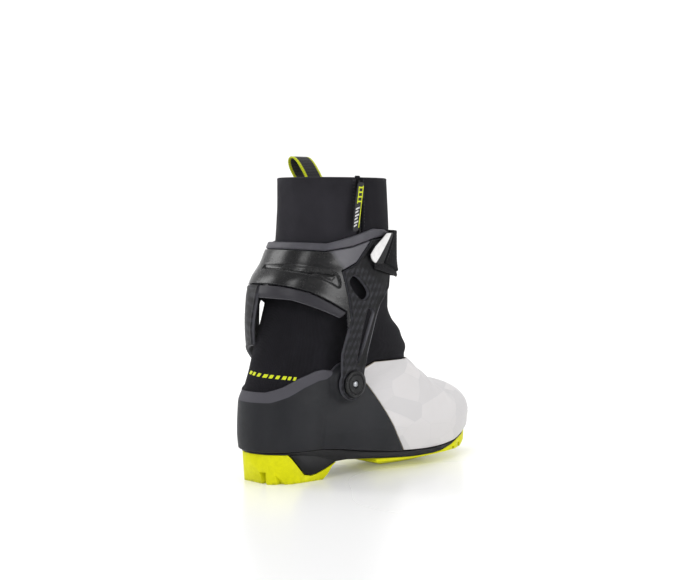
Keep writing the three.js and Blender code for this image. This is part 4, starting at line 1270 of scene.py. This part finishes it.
def pull_loop():
    """A band of webbing bent along a side path; its edges are thinner and carry the edge distance."""
    line = [(-5.5, 261), (-5.5, 269), (-5.4, 276), (-2.5, 285), (1, 292), (6, 295.5), (11, 293), (12.5, 287),
            (11, 280), (7.5, 273), (4.2, 267), (3.2, 261)]
    path = spaced(smooth(line, 3, closed=False), 120)
    along = unit(np.gradient(path, axis=0))
    (y, z), (ny, nz) = path.T[:, :, None], (-along[:, 1:], along[:, :1])
    rim, width = np.array([0, 0.15, 0.5, 1.2]), LOOP["width"]
    across = np.concatenate([rim, np.linspace(2, width - 2, 19), width - rim[::-1]])
    from_edge = np.minimum(across, width - across)
    full = np.sqrt(1 - (1 - np.clip(from_edge / 0.8, 0, 1)) ** 2)
    ripple = 0.06 * np.sin(z * 4.2) * (from_edge > 1)
    sheets = []
    for side in (-1, 1):
        reach = LOOP["half_thick"] + side * (0.72 * full + ripple)
        x = LOOP["x"] + across - LOOP["lean"] * (z - 270)
        sheets.append(np.stack([x, LOOP["y"] + y + ny * reach, z + nz * reach], -1).reshape(-1, 3))
    rows, columns = len(path), len(across)
    sheet = rows * columns
    low = quads(rows, columns, closed=False)
    faces = low + [tuple(i + sheet for i in f)[::-1] for f in low]
    grid = np.arange(sheet).reshape(rows, columns)
    for border in (grid[:, 0], grid[:, -1], grid[0], grid[-1]):
        faces += [(a, b, b + sheet, a + sheet) for a, b in zip(border[:-1].tolist(), border[1:].tolist())]
    made = piece("pull_loop_webbing", np.vstack(sheets), faces, {"edge": np.tile(from_edge, 2 * rows)})
    turn_outward(made)
    finish_piece(made, "cuff", "webbing", "webbing", "pull_loop")


# ---------------------------------------------------------------- sole
def rounded_copy(name, node, width, finish, slot):
    """A CAD node's own form with its edges rounded."""
    made = linked(name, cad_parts[node].data.copy())
    made.data.materials.clear()
    work = bmesh.new()
    work.from_mesh(made.data)
    bmesh.ops.remove_doubles(work, verts=work.verts, dist=1e-5)
    bmesh.ops.dissolve_limit(work, angle_limit=math.radians(1.5), verts=work.verts, edges=work.edges)
    work.to_mesh(made.data)
    work.free()
    soften(made, width, 32)
    finish_piece(made, "boot", finish, slot, node)


def sole():
    rounded_copy("sole_chassis", "sole_frame", 0.6, "frame", "frame_plastic")
    rounded_copy("heel_tread", "heel_rubber", 0.6, "rubber", "sole_rubber")
    rounded_copy("forefoot_tread", "forefoot_rubber", 0.5, "rubber", "sole_rubber")
    rounded_copy("footbed", "insole", 1.2, "foam", "foam")
    rounded_copy("toe_stiffener", "toe_puff", 0.4, "frame", "frame_plastic")
    for side in ("lateral", "medial"):
        rounded_copy(f"lace_stay_{side}", f"eyestay_{side}", 0.3, "darker_softshell", "softshell")


# ---------------------------------------------------------------- stitching
def stitching():
    """Rows of stitches beside the zip and the inner seam, and one across the strap at its grip."""
    rows = [(OUTER, ZIP_X - 5.2, 228), (OUTER, ZIP_X - 7.0, 228), (OUTER, ZIP_X + 5.4, 230),
            (INNER, COLLAR["seam"] - 2.5, 226), (INNER, COLLAR["seam"] + 3.0, 226)]
    lines = []
    for side, x, low in rows:
        lines.append(on_side(body_distance, np.linspace((x, low), (x, 274), 24), side, 0.25)[0])
    stitches("collar_seam_stitches", lines, "cuff", "stretch_fabric", pitch=2.8)
    line = on_side(cuff_distance, np.linspace((127.5, 198), (143.5, 223), 20), OUTER, 4.75)[0]
    stitches("strap_seam_stitches", [line], "strap", "strap_fabric", pitch=2.6)


# ---------------------------------------------------------------- finishes of the whole boot
FINISHES = {}  # by name; filled by build once the camera, the lights and the floor are made


def make_finishes():
    return {
        "stretch": knit("black_stretch_knit", rgb(10, 10, 12), rgb(38, 37, 42), sheen=0.03, weave_depth=0.2),
        # The darker softshell is the linings' cloth, and painted shade on the collar's front.
        "darker_softshell": knit("dark_softshell", rgb(14, 13, 17), rgb(38, 37, 42), period=0.8, sheen=0.04, wear=60,
                       weave_depth=0.04, contrast=0.03),
        "softshell": knit("charcoal_softshell", rgb(24, 23, 27), rgb(54, 53, 58), period=0.8, sheen=0.05,
                          wear=60, weave_depth=0.04, contrast=0.03),
        "shell": plastic("charcoal_heel_plastic", rgb(22, 23, 27), rgb(30, 31, 35), rough=(0.45, 0.58),
                         edge=rgb(80, 79, 85), satin=rgb(72, 71, 77)),
        # The gloss plastic's satin tone is partly the matt front's own grey, partly a painted highlight.
        "gloss": plastic("gloss_black_plastic", rgb(5, 5, 7), rgb(11, 11, 13), rough=(0.2, 0.3), depth=0.004,
                         wave=0.06, specular=0.42, edge=rgb(44, 44, 48), satin=rgb(78, 77, 83)),
        "cap": plastic("pivot_cap_plastic", rgb(5, 5, 7), rgb(12, 12, 14), rough=(0.24, 0.34), depth=0.002,
                       wave=0.02, specular=0.3),
        "trim": plastic("satin_rim_plastic", rgb(38, 37, 42), rgb(48, 47, 52), rough=(0.35, 0.5),
                        edge=rgb(104, 104, 109)),
        "lip": plastic("satin_lip_plastic", rgb(60, 59, 65), rgb(80, 79, 85), rough=(0.35, 0.5),
                       edge=rgb(92, 91, 97)),
        "frame": plastic("black_frame_plastic", rgb(9, 9, 11), rgb(18, 18, 21), rough=(0.4, 0.55)),
        "carbon": carbon("carbon_twill"),
        "cover": cover_cloth("coated_cover_cloth"),
        "rubber": rubber("lime_rubber", rgb(218, 217, 0), rgb(202, 202, 0)),
        "strap": knit("strap_weave", rgb(8, 8, 10), rgb(30, 30, 34), period=1.4, sheen=0.03),
        "white": banded_coating("white_strap_coating"),
        "fuzz": fuzz("hook_and_loop_pile"),
        "webbing": webbing("loop_webbing"),
        "tag": soft_rubber("tag_rubber_black"),
        "lime_ink": ink("tag_lime_ink", LIME, rgb(150, 170, 0)),
        "white_ink": ink("tag_white_ink", rgb(214, 214, 214), rgb(150, 150, 150)),
        "thread": ink("dark_thread", rgb(26, 26, 29), rgb(52, 52, 56)),
        "steel": metal("brushed_steel", rgb(176, 178, 182)),
        "board": fibre_board("lasting_fibre_board"),
        "foam": knit("insole_top_cloth", rgb(20, 20, 23), rgb(52, 52, 58), period=2.2, sheen=0.2),
        "lace": knit("lace_braid", rgb(150, 170, 0), LIME, period=0.9, sheen=0.1),
    }


def paint_kept_nodes():
    """CAD nodes that stay as they are get their own finish."""
    kept = {
        "steel": ["toe_bar", "pivot_nut_lateral", "pivot_nut_medial"],
        "board": ["lasting_board"],
        "frame": ["pivot_washer_lateral", "pivot_washer_medial"],
        "lace": ["lace"],
    }
    for finish, nodes in kept.items():
        for node in nodes:
            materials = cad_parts[node].data.materials
            materials.clear()
            materials.append(FINISHES[finish])


def build():
    camera()
    studio()
    floor()
    FINISHES.update(make_finishes())
    body, cuff_surface = body_form(), cuff_form()
    soft_upper(body)
    heel_dashes()
    heel_shell(body)
    pivots()
    cuff(cuff_surface)
    strap_pieces(cuff_surface)
    collar(body)
    zip_teeth()
    zip_slider()
    tag()
    pull_loop()
    sole()
    stitching()
    paint_kept_nodes()


build()
